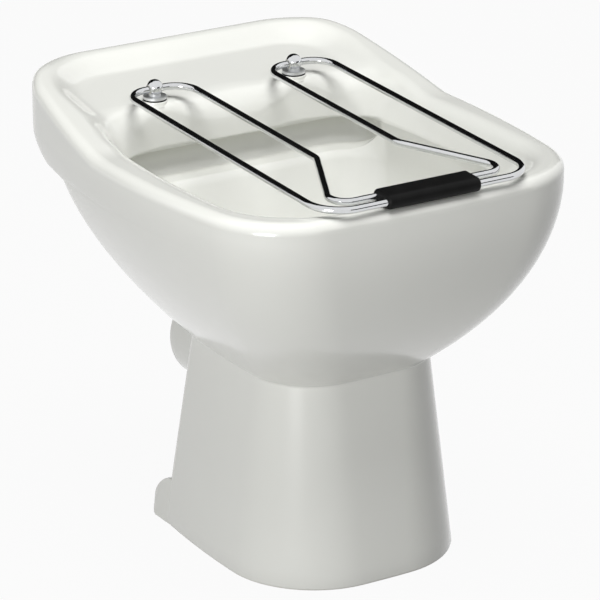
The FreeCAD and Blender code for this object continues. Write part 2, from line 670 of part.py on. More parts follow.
nodes = [pan]
for side, sign in (("left", "-1"), ("right", "1")):
    for make in (hinge_post, hinge_bush, post_gasket, post_plug, wedge_nut):
        piece = make(side)
        put_at_post(piece, sign)
        nodes.append(piece)

# Grate: one closed loop of rod in a plane that falls gently to the front, with the pad round its front bars
pad_reach = "(grate_reach - bar_spacing / 2)"
pad_lift = f"pad_width / 2 * {axis_rise} / grate_reach"
bar_level = f"(front_level + rest_gap + pad_height / 2 + {pad_lift})"


def put_at_hinge(body):
    body.Placement = FreeCAD.Placement(FreeCAD.Vector(), FreeCAD.Rotation(FreeCAD.Vector(1, 0, 0), 1))
    body.setExpression("Placement.Base.y", named("post_rear"))
    body.setExpression("Placement.Base.z", named("hinge_level"))
    body.setExpression("Placement.Rotation.Angle", named(f"asin((hinge_level - {bar_level}) / {pad_reach})"))


half_loop = [
    ("outer_rod_half", "-grate_reach", "outer_bend"),
    ("outer_rod_half", "0", "hinge_bend"),
    ("inner_rod_half", "0", "hinge_bend"),
    ("inner_rod_half", "-inner_reach", "jog_bend"),
    ("inner_corner_half", "-(grate_reach - bar_spacing)", "inner_bend"),
]
mirrored = [(f"-{across}", along, bend) for across, along, bend in reversed(half_loop)]
grate = new_body("grate_rod")
put_at_hinge(grate)
loop = profile(grate, "rod_route", "XY_Plane", [("0", "-grate_reach", "")] + half_loop + mirrored)


def ring_sketch(body, name, centres, radius):
    """Circles on the plane across X, at places along the grate."""
    sketch = new_sketch(body, name, "YZ_Plane")
    for index, along in enumerate(centres):
        middle = FreeCAD.Vector(size(along), 0, 0)
        sketch.addGeometry(Part.Circle(middle, FreeCAD.Vector(0, 0, 1), size(radius)))
        drive(sketch, "Radius", (index,), radius)
        place_point(sketch, (index, CENTRE), along, "0")
    return sketch


rod_section = ring_sketch(grate, "rod_section", ["-grate_reach"], "rod_radius")
rod = grate.newObject("PartDesign::AdditivePipe", "rod")
rod.Profile = rod_section
rod.Spine = loop
doc.recompute()
nodes.append(grate)

grip = new_body("grip_pad")
put_at_hinge(grip)
half_pad = "pad_width / 2"
pad_section = profile(grip, "pad_section", "YZ_Plane", [
    (f"-{pad_reach} - {half_pad}", "-pad_height / 2", "pad_round"),
    (f"-{pad_reach} + {half_pad}", "-pad_height / 2", "pad_round"),
    (f"-{pad_reach} + {half_pad}", "pad_height / 2", "pad_round"),
    (f"-{pad_reach} - {half_pad}", "pad_height / 2", "pad_round"),
])
pad(grip, "sleeve", pad_section, "pad_length", symmetric=True)


def end_edge(edge):
    return all(abs(abs(point.x) - size("pad_length") / 2) < NEAR for point in samples(edge))


round_edges(grip, "end_rounding", "pad_end_round", end_edge)
bars = ring_sketch(grip, "bar_holes", ["-grate_reach", "-(grate_reach - bar_spacing)"], "rod_radius + seat_clearance")
pocket(grip, "bar_bores", bars, "2 * pad_length", symmetric=True)
nodes.append(grip)

doc.recompute()
for item in doc.Objects:
    if "Invalid" in item.State or "Error" in item.State:
        raise RuntimeError(f"{item.Label} is {item.State}")
for node in nodes:
    if node.Shape.isNull() or not node.Shape.isValid() or len(node.Shape.Solids) != 1:
        raise RuntimeError(f"{node.Label} is not one valid solid")
os.makedirs("parts", exist_ok=True)
for node in nodes:
    node.Shape.exportStep(f"parts/{node.Label}.step")
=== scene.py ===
"""Looks of a floor-standing slop hopper: glazed china pan, hinged chrome bucket grate and rubber pad."""

import json
import math

import bmesh
import bpy
import numpy as np
from bpy.props import FloatProperty, FloatVectorProperty, PointerProperty
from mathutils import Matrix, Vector


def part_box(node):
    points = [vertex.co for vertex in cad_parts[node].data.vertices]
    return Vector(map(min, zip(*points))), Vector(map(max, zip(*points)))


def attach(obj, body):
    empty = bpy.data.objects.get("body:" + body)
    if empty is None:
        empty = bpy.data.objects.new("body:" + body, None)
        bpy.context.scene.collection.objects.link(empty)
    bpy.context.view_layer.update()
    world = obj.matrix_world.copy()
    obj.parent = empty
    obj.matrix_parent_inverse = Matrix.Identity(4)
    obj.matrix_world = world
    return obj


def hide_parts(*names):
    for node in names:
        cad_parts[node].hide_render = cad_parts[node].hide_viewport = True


bl_info = {
    "name": "Slop Hopper Looks",
    "version": (1, 0, 0),
    "blender": (4, 5, 0),
    "location": "View3D > Sidebar > Hopper",
    "description": "China pan, chrome bucket grate and stage of a slop hopper",
    "category": "Object",
}

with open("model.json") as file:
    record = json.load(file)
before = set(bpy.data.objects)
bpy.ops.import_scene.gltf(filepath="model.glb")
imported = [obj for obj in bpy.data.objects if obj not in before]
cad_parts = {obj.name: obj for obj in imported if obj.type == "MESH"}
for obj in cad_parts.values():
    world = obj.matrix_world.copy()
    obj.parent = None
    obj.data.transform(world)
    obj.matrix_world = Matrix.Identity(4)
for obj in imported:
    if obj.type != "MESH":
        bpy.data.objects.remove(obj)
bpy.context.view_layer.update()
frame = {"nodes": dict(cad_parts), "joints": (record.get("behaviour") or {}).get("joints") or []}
HINGE = next(joint for joint in frame["joints"] if joint["name"] == "grate_hinge")
SIDES = ("left", "right")
MM = 0.001
FULL_TURN = 2 * math.pi
QUARTER_TURN = math.pi / 2


# Properties

def length(label, meaning, millimetres):
    """A length, with its default in millimetres."""
    return FloatProperty(name=label, description=meaning, default=millimetres * MM, unit="LENGTH",
                         precision=5)


def ratio(label, meaning, number):
    """A plain number."""
    return FloatProperty(name=label, description=meaning, default=number)


def tone(label, meaning, colour):
    """A colour."""
    return FloatVectorProperty(name=label, description=meaning, default=colour, subtype="COLOR", size=3,
                               min=0, max=1)


def spot(label, meaning, place):
    """A place, with its default in metres."""
    return FloatVectorProperty(name=label, description=meaning, default=place, unit="LENGTH")


def card_edges(label, meaning, edges):
    """Five lengths that place an upright card, with their defaults in metres."""
    meaning = f"{meaning}: its place and its left, right, lower and upper edge"
    return FloatVectorProperty(name=label, description=meaning, size=5, default=edges, unit="LENGTH")


class PanSizes(bpy.types.PropertyGroup):
    """Sizes of the china pan"""
    rim_half_width: length("Rim half width", "Half width of the bowl at the rim", 202)
    rim_front: length("Rim front", "Front of the rim, ahead of the middle", 242)
    rim_front_corner: length("Rim front corner", "Front corner of the rim in plan", 92)
    rim_rear_corner: length("Deck corner", "Rear corner of the deck in plan", 87)
    deck_rear: length("Deck rear", "Rear of the deck, behind the middle", 242)
    rim_level: length("Rim level", "Top of the rim beside the bowl", 402.5)
    front_level: length("Front level", "Top of the rim at the front", 404)
    deck_level: length("Deck level", "Top of the rear edge", 440)
    wall_level: length("Wall level", "Where the bowl's outside turns upright", 386.5)
    rise_start: length("Rise start", "Where the side edge starts to rise", 36)
    rise_end: length("Rise end", "Where the side edge reaches the deck", 208)
    rise_radius: length("Rise radius", "Both bends of the rising side edge", 73)
    front_dip: length("Front dip", "Where the front slope of the rim ends", 65)
    dip_radius: length("Dip radius", "Soft bend at the foot of the front slope", 900)
    rim_rounding: length("Rim rounding", "Rounding of the outer top edge", 11)
    bow: length("Bow radius", "Bow of front and sides in plan", 1000)
    neck_level: length("Neck level", "Crease between bowl and pedestal", 199.5)
    neck_half_width: length("Neck half width", "Half width of the neck", 94.5)
    neck_front: length("Neck front", "Front of the neck", 139.5)
    neck_rear: length("Neck rear", "Rear of the neck", 54.5)
    neck_front_corner: length("Neck front corner", "Front corner of the neck", 64)
    neck_rear_corner: length("Neck rear corner", "Rear corner of the neck", 16)
    bowl_rear: length("Bowl rear", "Rear of the bowl's outside under the deck", 185.5)
    side_belly: ratio("Side belly", "Exponent of the bowl's side curve", 1.75)
    front_belly: ratio("Front belly", "Exponent of the bowl's front curve", 2.33)
    rear_belly: ratio("Rear belly", "Exponent of the bowl's rear curve", 1.54)
    overhang_start: ratio("Overhang start", "Share of the bowl's height where the deck overhangs", 0.86)
    overhang_inset: length("Overhang inset", "How far the overhang's lower edge draws in", 22)
    overhang_belly: ratio("Overhang belly", "Exponent of the overhang's rounded edge", 2.0)
    foot_half_width: length("Foot half width", "Half width of the pedestal on the floor", 118.5)
    foot_front: length("Foot front", "Front of the pedestal on the floor", 167)
    foot_rear: length("Foot rear", "Rear of the pedestal on the floor", 73.5)
    foot_front_corner: length("Foot front corner", "Front corner of the foot", 94)
    foot_rear_corner: length("Foot rear corner", "Rear corner of the foot", 16)
    wall: length("Wall", "China round the casting's hollow", 13)
    hollow_end: ratio("Hollow end", "Share of the bowl's height where the hollow ends", 0.6)
    mouth_half_width: length("Mouth half width", "Half width of the mouth at rim level", 169)
    mouth_front: length("Mouth front", "Front of the mouth at rim level", 216)
    mouth_rear: length("Mouth rear", "Rear of the mouth at rim level", 114)
    mouth_front_corner: length("Mouth front corner", "Front corner of the mouth", 84)
    mouth_rear_corner: length("Mouth rear corner", "Rear corner of the mouth", 54)
    mouth_rounding: length("Mouth rounding", "Rounding of the mouth's edge at front and sides", 12)
    brow_rounding: length("Brow rounding", "Rounding of the mouth's edge under the deck", 28)
    shoulder_rounding: length("Shoulder rounding", "Rounding of that edge in front of a hinge post", 10)
    shoulder_reach: length("Shoulder reach", "How far that smaller rounding reaches to each side", 40)
    ledge_level: length("Ledge level", "Lower edge of the rear apron", 370)
    ledge_half_width: length("Ledge half width", "Half width of the bowl at the ledge", 151)
    ledge_front: length("Ledge front", "Front of the bowl at the ledge", 200)
    ledge_rear: length("Ledge rear", "Rear of the bowl at the ledge", 108)
    ledge_front_corner: length("Ledge front corner", "Front corner at the ledge", 76)
    ledge_rear_corner: length("Ledge rear corner", "Rear corner at the ledge", 46)
    sump_level: length("Sump level", "Top of the round sump", 200)
    sump_radius: length("Sump radius", "Radius of the sump", 36)
    sump_corner: length("Sump corner", "Corner of the sump's plan", 33.84)
    sump_ahead: length("Sump ahead", "Sump axis ahead of the middle", 35)
    funnel_belly: ratio("Funnel belly", "Exponent of the funnel's side curve", 1.9)
    funnel_rear_belly: ratio("Funnel rear belly", "Exponent of the funnel's rear slope", 1.1)
    slot_height: length("Slot height", "Height of the flush slot", 30)
    slot_rear: length("Slot rear", "Back wall of the flush slot", 130)
    inlet_level: length("Inlet level", "Axis of the flush inlet", 388)
    inlet_radius: length("Inlet radius", "Radius of the flush inlet", 19)
    inlet_depth: length("Inlet depth", "Depth of the flush inlet's bore", 70)
    trap_radius: length("Trap radius", "Water way through the trap", 33)
    trap_wall: length("Trap wall", "China round the water way", 10)
    trap_bend: length("Trap bend", "Centre radius of the trap's bends", 44)
    trap_low: length("Trap low", "Lowest axis of the trap", 62)
    trap_rear: length("Trap rear", "Rising leg of the trap", 57)
    trap_high: length("Trap high", "Axis over the weir", 158)
    outlet_radius: length("Outlet radius", "Outside of the waste spigot", 51)
    outlet_bore: length("Outlet bore", "Inside of the waste spigot", 45)
    outlet_level: length("Outlet level", "Axis of the waste spigot", 153)
    outlet_end: length("Outlet end", "End of the waste spigot", 157)
    collar_end: length("Collar end", "End of the collar at the spigot's root", 101)
    collar_step: length("Collar step", "Collar outside the spigot, on the radius", 3)
    outlet_socket: length("Outlet socket", "Depth of the spigot's wide bore", 40)
    dish_front: length("Dish front", "Front edge of the deck's floor", 113)
    dish_front_level: length("Dish front level", "Deck floor at its front edge", 408.5)
    dish_rear: length("Dish rear", "Rear edge of the deck's floor", 231)
    dish_rear_level: length("Dish rear level", "Deck floor at its rear edge", 427.5)
    dish_half_width: length("Dish half width", "Half width of the deck's floor", 172)
    dish_corner: length("Dish corner", "Rear corner of the deck's floor", 76)
    dish_softness: length("Dish softness", "Width of the soft slope from the deck's floor to its lip", 32)
    boss_radius: length("Boss radius", "Flat boss under a hinge post", 12.5)
    boss_level: length("Boss level", "Top of that boss", 414.5)
    mound_reach: length("Mound reach", "Radius of the soft mound round a boss", 38)


class LugSizes(bpy.types.PropertyGroup):
    """Sizes of the foot lugs"""
    inner: length("Inner side", "Inner side of a lug", 68)
    outer: length("Outer side", "Outer side of a lug", 111)
    front: length("Front", "Front end, inside the pedestal", 45)
    rear: length("Rear", "Rear end", 90)
    height: length("Height", "Height of a lug", 47)
    rounding: length("Rounding", "Rounding of its top rear edge", 36)
    edge: length("Edge", "Soft edge all round", 1.5)
    heel: length("Heel", "Rounding of its lower rear edge", 8)
    screw_half_spacing: length("Screw place across", "Screw hole from the middle", 97)
    screw_rear: length("Screw place behind", "Screw hole behind the middle", 79)
    hole: length("Hole", "Radius of the screw hole", 5)
    recess: length("Recess", "Radius of the recess for the screw's head", 8.5)
    recess_depth: length("Recess depth", "Depth of that recess", 29)


class GrateSizes(bpy.types.PropertyGroup):
    """Sizes of the bucket grate"""
    rod_radius: length("Rod radius", "Chrome rod", 3.5)
    outer_half: length("Outer straight", "Outer straight from the middle", 113.5)
    inner_half: length("Inner straight", "Inner straight from the middle", 45)
    reach: length("Reach", "Hinge axis to the outer front bar", 365.5)
    bar_spacing: length("Bar spacing", "Outer to inner front bar", 17)
    inner_reach: length("Inner reach", "Hinge axis to the bend of the inner straight", 240)
    inner_corner: length("Inner corner", "Front corner of the inner loop", 99)
    hinge_bend: length("Hinge bend", "Bends beside the posts", 24)
    outer_bend: length("Outer bend", "Front bends of the outer loop", 32)
    inner_bend: length("Inner bend", "Front bends of the inner loop", 16)
    jog_bend: length("Jog bend", "Bends where the inner straight turns out", 20)
    bar_level: length("Bar level", "Front bars above the floor", 411.751)
    pad_length: length("Pad length", "Length of the rubber pad", 100)
    pad_width: length("Pad width", "Width of the rubber pad", 30)
    pad_height: length("Pad height", "Height of the rubber pad", 14)
    pad_rounding: length("Pad rounding", "Rounding of the pad's section", 6.5)
    pad_end: length("Pad end", "Rounding of the pad's ends", 3)


class Finishes(bpy.types.PropertyGroup):
    """Colours of the finishes"""
    glaze: tone("Glaze", "White glaze", (0.80, 0.805, 0.765))
    glaze_shade: tone("Glaze shade", "Glaze where it lies thicker", (0.745, 0.75, 0.705))
    biscuit: tone("Biscuit", "Unglazed china", (0.66, 0.63, 0.56))
    chrome: tone("Chrome", "Polished chrome", (0.76, 0.77, 0.78))
    chrome_shade: tone("Chrome shade", "Chrome dulled by cleaning", (0.58, 0.59, 0.6))
    rubber: tone("Rubber", "Black rubber", (0.004, 0.004, 0.004))
    rubber_worn: tone("Worn rubber", "Rubber where it is rubbed", (0.011, 0.011, 0.011))
    nylon: tone("Nylon", "Natural nylon", (0.72, 0.71, 0.66))
    nylon_shade: tone("Nylon shade", "Nylon in its depth", (0.6, 0.59, 0.53))
    brass: tone("Brass", "Turned brass", (0.72, 0.52, 0.22))
    brass_shade: tone("Brass shade", "Brass gone dull", (0.5, 0.36, 0.16))


class StageSettings(bpy.types.PropertyGroup):
    """Light, floor and camera"""
    room_light: ratio("Room light", "Strength of the light from all round", 0.25)
    top_light: ratio("Top light", "Watts of the large lamp overhead", 57.5)
    top_place: spot("Top lamp place", "Where the large lamp hangs", (-0.2, -0.4, 2.7))
    top_size: length("Top lamp size", "Width of the large lamp", 1600)
    side_light: ratio("Side light", "Watts of the low lamp at the front left", 34.5)
    side_place: spot("Side lamp place", "Where the low lamp stands", (-2.03, -1.43, 0.3))
    side_size: length("Side lamp size", "Width of the low lamp", 1000)
    lamp_aim: spot("Lamp aim", "What both lamps point at", (0, 0, 0.3))
    floor: tone("Floor", "Pale floor in the light that it throws back", (0.28, 0.28, 0.276))
    floor_half: length("Floor half width", "Half width of the floor", 6000)
    floor_shadow: ratio("Floor shadow", "How much of the shadow the pale floor shows", 0.05)
    rear_card: card_edges("Rear card", "Dark card behind", (3.0, -2.6, 4.8, 0.56, 7.5))
    front_card: card_edges("Front card", "Dark card in front", (-3.6, 0.2, 4.2, 0.02, 1.5))
    card: tone("Card", "Colour of both cards", (0.02, 0.02, 0.02))
    camera_place: spot("Camera place", "Where the camera stands", (-1.8141, -2.9119, 1.5321))
    camera_aim: spot("Camera aim", "What the camera looks at", (0.0273, 0.035, 0.2156))
    camera_lens: ratio("Camera lens", "Focal length in millimetres", 226.98)
    camera_sensor: ratio("Camera sensor", "Width of the sensor in millimetres", 36.0)
    camera_far: length("Camera far end", "How far the camera sees", 100000)


# Grids and meshes

FRONT_STEPS, CORNER_STEPS, SIDE_STEPS, REAR_STEPS = 14, 22, 22, 16
SEAM = 0.001 * MM


def shares(count, power=1.0):
    """Even steps from 0 to 1, drawn towards 0 by a power above 1."""
    return np.linspace(0, 1, count) ** power


def smooth_step(low, high, values):
    """0 below low, 1 above high, with a cubic ease between."""
    share = np.clip((values - low) / (high - low), 0, 1)
    return share * share * (3 - 2 * share)


def above(values, softness):
    """The part of values above 0, with a round bend of the given softness at 0."""
    return (values + np.sqrt(values ** 2 + softness ** 2)) / 2


def swell(start, finish, share, belly):
    """Goes from start to finish as share goes from 0 to 1, fast at first by the exponent belly."""
    return start + (finish - start) * (1 - (1 - share) ** belly)


def lerp(start, finish, share):
    """Goes evenly from start to finish as share goes from 0 to 1."""
    return start + (finish - start) * share


def plan(sizes, bow):
    """Plans with bowed front and sides, a straight rear and four round corners: one closed loop per row.

    A row holds half width, front, rear, front corner, rear corner and the place of the widest point. Each
    loop runs from the front middle by the right side to the rear middle and back by the left. The bows are
    arcs of one radius, and each corner's arc touches the two lines beside it.
    """
    half, front, rear, front_corner, rear_corner, widest = sizes.T[..., None]
    bow_y = bow - front
    side_x = half - bow
    gap_x, gap_y = side_x, widest - bow_y
    span = np.hypot(gap_x, gap_y)
    aside = np.sqrt((bow - front_corner) ** 2 - (span / 2) ** 2)
    corner_x = gap_x / 2 - gap_y / span * aside
    corner_y = bow_y + gap_y / 2 + gap_x / span * aside
    rear_y = rear - rear_corner
    rear_x = side_x + np.sqrt((bow - rear_corner) ** 2 - (rear_y - widest) ** 2)
    turn_one = np.arctan2(corner_y - bow_y, corner_x)
    turn_two = np.arctan2(corner_y - widest, corner_x - side_x)
    turn_three = np.arctan2(rear_y - widest, rear_x - side_x)

    def arc(x, y, radius, begin, finish, steps):
        """Points of an arc about (x, y), without its last."""
        angle = lerp(begin, finish, np.arange(steps)[None] / steps)
        return np.stack([x + radius * np.cos(angle), y + radius * np.sin(angle)], axis=-1)

    across = rear_x * (1 - np.arange(REAR_STEPS + 1)[None] / REAR_STEPS)
    right = np.concatenate([
        arc(0, bow_y, bow, -QUARTER_TURN, turn_one, FRONT_STEPS),
        arc(corner_x, corner_y, front_corner, turn_one, turn_two, CORNER_STEPS),
        arc(side_x, widest, bow, turn_two, turn_three, SIDE_STEPS),
        arc(rear_x, rear_y, rear_corner, turn_three, QUARTER_TURN, CORNER_STEPS),
        np.stack([across, np.broadcast_to(rear, across.shape)], axis=-1),
    ], axis=1)
    left = right[:, -2:0:-1] * (-1, 1)
    return np.concatenate([right, left], axis=1)


def outward(loops):
    """Unit normals in plan of closed loops that run anticlockwise."""
    along = np.roll(loops, -1, axis=-2) - np.roll(loops, 1, axis=-2)
    normal = np.stack([along[..., 1], -along[..., 0]], axis=-1)
    return normal / np.linalg.norm(normal, axis=-1, keepdims=True)


def raised(loops, levels):
    """Plans and levels put together as points."""
    levels = np.broadcast_to(levels, loops.shape[:-1])
    return np.concatenate([loops, levels[..., None]], axis=-1)


def bent_line(along, corners):
    """Height of straight runs through corners (place, height, radius), each rounded by its radius."""
    places = [corner[0] for corner in corners]
    heights = [corner[1] for corner in corners]
    result = np.interp(along, places, heights)
    for (x0, z0, _), (x1, z1, radius), (x2, z2, _) in zip(corners, corners[1:], corners[2:]):
        slope_in = math.atan2(z1 - z0, x1 - x0)
        slope_out = math.atan2(z2 - z1, x2 - x1)
        reach = radius * math.tan(abs(slope_out - slope_in) / 2)
        side = 1 if slope_out > slope_in else -1
        middle_x = x1 - reach * math.cos(slope_in) - side * radius * math.sin(slope_in)
        middle_z = z1 - reach * math.sin(slope_in) + side * radius * math.cos(slope_in)
        on_arc = (along > x1 - reach * math.cos(slope_in)) & (along < x1 + reach * math.cos(slope_out))
        drop = np.sqrt(np.maximum(radius ** 2 - (along - middle_x) ** 2, 0))
        result = np.where(on_arc, middle_z - side * drop, result)
    return result


def bent_route(corners, closed, arc_steps=10, run_steps=3):
    """Points of straight runs through corners (x, y, radius), each turned into an arc of its radius."""
    points = np.array([corner[:2] for corner in corners], float)
    pieces = []
    count = len(corners)
    for index, (here, (_, _, radius)) in enumerate(zip(points, corners)):
        if not radius:
            pieces.append(here[None])
            continue
        back = points[index - 1] - here
        ahead = points[(index + 1) % count] - here
        back /= np.linalg.norm(back)
        ahead /= np.linalg.norm(ahead)
        half_angle = math.acos(np.clip(back @ ahead, -1, 1)) / 2
        middle = here + (back + ahead) / np.linalg.norm(back + ahead) * radius / math.sin(half_angle)
        first = here + back * radius / math.tan(half_angle) - middle
        last = here + ahead * radius / math.tan(half_angle) - middle
        turn = math.pi - 2 * half_angle
        angle = turn * shares(arc_steps + 1)[:, None]
        pieces.append(middle + (first * np.sin(turn - angle) + last * np.sin(angle)) / math.sin(turn))
    route = []
    for index, piece in enumerate(pieces):
        route.append(piece)
        if index + 1 < count or closed:
            following = pieces[(index + 1) % count][0]
            route.append(lerp(piece[-1], following, shares(run_steps + 2)[1:-1, None]))
    return np.concatenate(route)


def grid_faces(rows, columns, close_rows, start):
    """Quads of a grid of closed rows, whose points are numbered row by row."""
    row = np.arange(rows if close_rows else rows - 1)[:, None]
    column = np.arange(columns)[None]
    next_row = (row + 1) % rows
    next_column = (column + 1) % columns
    corners = [
        row * columns + column,
        row * columns + next_column,
        next_row * columns + next_column,
        next_row * columns + column,
    ]
    return np.stack(np.broadcast_arrays(*corners), axis=-1).reshape(-1, 4) + start


class Shell:
    """Grids gathered into one mesh with closed seams, and how bare of glaze each point is, from 0 to 1."""

    def __init__(self):
        self.points = []
        self.faces = []
        self.caps = []
        self.bare = []
        self.count = 0

    def add(self, grid, close_rows=False, caps=(), bare=0.0, keep=None):
        """Adds a grid whose rows are closed rings: caps are rows to fill, keep picks the faces to use."""
        rows, columns = grid.shape[:2]
        faces = grid_faces(rows, columns, close_rows, self.count)
        self.faces.append(faces if keep is None else faces[keep])
        for row in caps:
            ring = np.arange(columns) + self.count + (row % rows) * columns
            self.caps.append(ring[::-1].tolist() if row == 0 else ring.tolist())
        self.points.append(grid.reshape(-1, 3))
        self.bare.append(np.broadcast_to(bare, (rows, columns)).reshape(-1))
        self.count += rows * columns

    def make(self, name, finish):
        """Joins the grids' seams, turns the faces outwards and returns the piece."""
        mesh = bpy.data.meshes.new(name)
        faces = np.concatenate(self.faces).tolist() + self.caps
        mesh.from_pydata(np.concatenate(self.points), [], faces)
        attribute = mesh.attributes.new("bare", "FLOAT", "POINT")
        attribute.data.foreach_set("value", np.concatenate(self.bare).astype(np.float32))
        joined = bmesh.new()
        joined.from_mesh(mesh)
        bmesh.ops.remove_doubles(joined, verts=joined.verts, dist=SEAM)
        bmesh.ops.recalc_face_normals(joined, faces=joined.faces)
        joined.to_mesh(mesh)
        joined.free()
        mesh.polygons.foreach_set("use_smooth", np.ones(len(mesh.polygons), bool))
        mesh.materials.append(finish)
        mesh.update()
        if mesh.validate():
            raise RuntimeError(f"{name} has faces that don't hold")
        piece = bpy.data.objects.new(name, mesh)
        bpy.context.scene.collection.objects.link(piece)
        return piece


# Finishes

# Numbers of the Mix node's colour sockets
MIX_FIRST, MIX_SECOND, MIX_COLOUR = 6, 7, 2
WHITE = (1.0, 1.0, 1.0, 1.0)


class Value:
    """One output of a node. Arithmetic on it adds a Math node for each operation."""

    def __init__(self, finish, socket):
        self.finish = finish
        self.socket = socket

    def math(self, operation, *values):
        """One Math node on values or numbers."""
        return self.finish.node("ShaderNodeMath", {"operation": operation}, dict(enumerate(values)))

    def __add__(self, other):
        return self.math("ADD", self, other)

    def __radd__(self, other):
        return self.math("ADD", other, self)

    def __sub__(self, other):
        return self.math("SUBTRACT", self, other)

    def __rsub__(self, other):
        return self.math("SUBTRACT", other, self)

    def __mul__(self, other):
        return self.math("MULTIPLY", self, other)

    def __pow__(self, other):
        return self.math("POWER", self, other)


class Finish:
    """A procedural surface: nodes are added by node(), and output() takes the shader."""

    def __init__(self, owner):
        owner.use_nodes = True
        self.tree = owner.node_tree
        self.tree.nodes.clear()

    def node(self, kind, settings=None, inputs=None, output=0):
        """Adds a node, with its settings and its sockets' values or links, and returns one output."""
        made = self.tree.nodes.new(kind)
        for key, setting in (settings or {}).items():
            setattr(made, key, setting)
        for key, value in (inputs or {}).items():
            if isinstance(value, Value):
                self.tree.links.new(value.socket, made.inputs[key])
            else:
                made.inputs[key].default_value = value
        return Value(self, made.outputs[output])

    def place(self):
        """Where a point lies in the piece's own axes."""
        return self.node("ShaderNodeTexCoord", output="Object")

    def noise(self, scale, detail=2.0, roughness=0.5, stretch=(1, 1, 1)):
        """Soft random clouds, drawn out along an axis by a stretch below 1."""
        place = self.node("ShaderNodeMapping", {}, {"Vector": self.place(), "Scale": stretch})
        return self.node("ShaderNodeTexNoise", {},
                         {"Vector": place, "Scale": scale, "Detail": detail, "Roughness": roughness})

    def fade(self, value, low, high, at_low):
        """A number that falls from at_low to 0 as value goes from low to high."""
        return self.node("ShaderNodeMapRange", {}, {"Value": value, "From Min": low, "From Max": high,
                                                    "To Min": at_low, "To Max": 0.0})

    def mix(self, share, first, second):
        """The first colour at share 0 and the second at 1."""
        return self.node("ShaderNodeMix", {"data_type": "RGBA"},
                         {"Factor": share, MIX_FIRST: first, MIX_SECOND: second}, MIX_COLOUR)

    def bump(self, height, strength, distance):
        """A normal that shows height as fine relief."""
        return self.node("ShaderNodeBump", {}, {"Height": height, "Strength": strength, "Distance": distance})

    def output(self, shader, kind="ShaderNodeOutputMaterial"):
        """Ends the nodes with a shader."""
        end = self.tree.nodes.new(kind)
        self.tree.links.new(shader.socket, end.inputs["Surface"])


def opaque(colour):
    """A colour with full cover, as a node's socket takes it."""
    return (*colour, 1.0)


def material(name):
    """A new material and the finish that adds its nodes."""
    made = bpy.data.materials.new(name)
    return made, Finish(made)


def china_finish(tones):
    """White glaze with a soft change of tone, faint waves and pinholes; bare china is dull and creamy."""
    made, finish = material("white glazed china")
    shade = opaque(tones.glaze_shade)
    bare = finish.node("ShaderNodeAttribute", {"attribute_name": "bare"}, output="Fac")
    cloud = finish.noise(scale=5.0, detail=3.0)
    wave = finish.noise(scale=26.0)
    grain = finish.noise(scale=900.0)
    pinhole = finish.node("ShaderNodeTexVoronoi", {}, {"Vector": finish.place(), "Scale": 95.0})
    speck = finish.fade(pinhole, low=0.02, high=0.05, at_low=0.35)
    glaze = finish.mix(cloud * 0.5 + wave * 0.2, opaque(tones.glaze), shade)
    spotted = finish.mix(speck * 0.35, glaze, shade)
    biscuit = finish.mix(grain, opaque(tones.biscuit), shade)
    relief = wave + bare * grain * 0.6 - speck * 0.2
    finish.output(finish.node("ShaderNodeBsdfPrincipled", {}, {
        "Base Color": finish.mix(bare, spotted, biscuit),
        "Roughness": 0.16 + wave * 0.08 + bare * 0.55,
        "Coat Weight": 0.5 - bare * 0.5,
        "Coat Roughness": 0.06,
        "IOR": 1.5,
        "Normal": finish.bump(relief, strength=0.05, distance=2 * MM),
    }))
    return made


def metal_finish(name, bright, dull, rough, streak, satin_below=0.0):
    """Polished metal with cloudy dull places and fine rubbing marks, satin below a level."""
    made, finish = material(name)
    level = finish.node("ShaderNodeSeparateXYZ", {}, {"Vector": finish.place()}, output="Z")
    satin = finish.fade(level, low=satin_below, high=satin_below + MM, at_low=0.34)
    cloud = finish.noise(scale=45.0, detail=3.0)
    marks = finish.noise(scale=420.0, detail=3.0, roughness=0.6, stretch=streak)
    finish.output(finish.node("ShaderNodeBsdfPrincipled", {}, {
        "Base Color": finish.mix(cloud * 0.7 + marks * 0.2, opaque(bright), opaque(dull)),
        "Metallic": 1.0,
        "Roughness": rough + cloud * 0.05 + marks * 0.05 + satin,
        "Normal": finish.bump(marks, strength=0.03, distance=0.3 * MM),
    }))
    return made


def moulded_finish(name, fresh, worn, rough, grain_scale, grain_strength, shine=0.5):
    """Moulded rubber or plastic with a fine grain and rubbed places."""
    made, finish = material(name)
    cloud = finish.noise(scale=38.0, detail=3.0)
    grain = finish.noise(grain_scale)
    finish.output(finish.node("ShaderNodeBsdfPrincipled", {}, {
        "Base Color": finish.mix(cloud ** 2.0, opaque(fresh), opaque(worn)),
        "Roughness": rough + grain * 0.12 + cloud * 0.08,
        "Specular IOR Level": shine,
        "Normal": finish.bump(grain, grain_strength, distance=0.4 * MM),
    }))
    return made


# The pan

# Small soft edges, and the share of one that is cut off at its middle
EDGE = 1.5 * MM
FOOT_EDGE = 2.5 * MM
CUT = 0.3


def row_sizes(*columns):
    """Rows of plan sizes from six columns of numbers or arrays."""
    columns = [np.atleast_1d(np.asarray(column, float)) for column in columns]
    return np.stack(np.broadcast_arrays(*columns), axis=1)


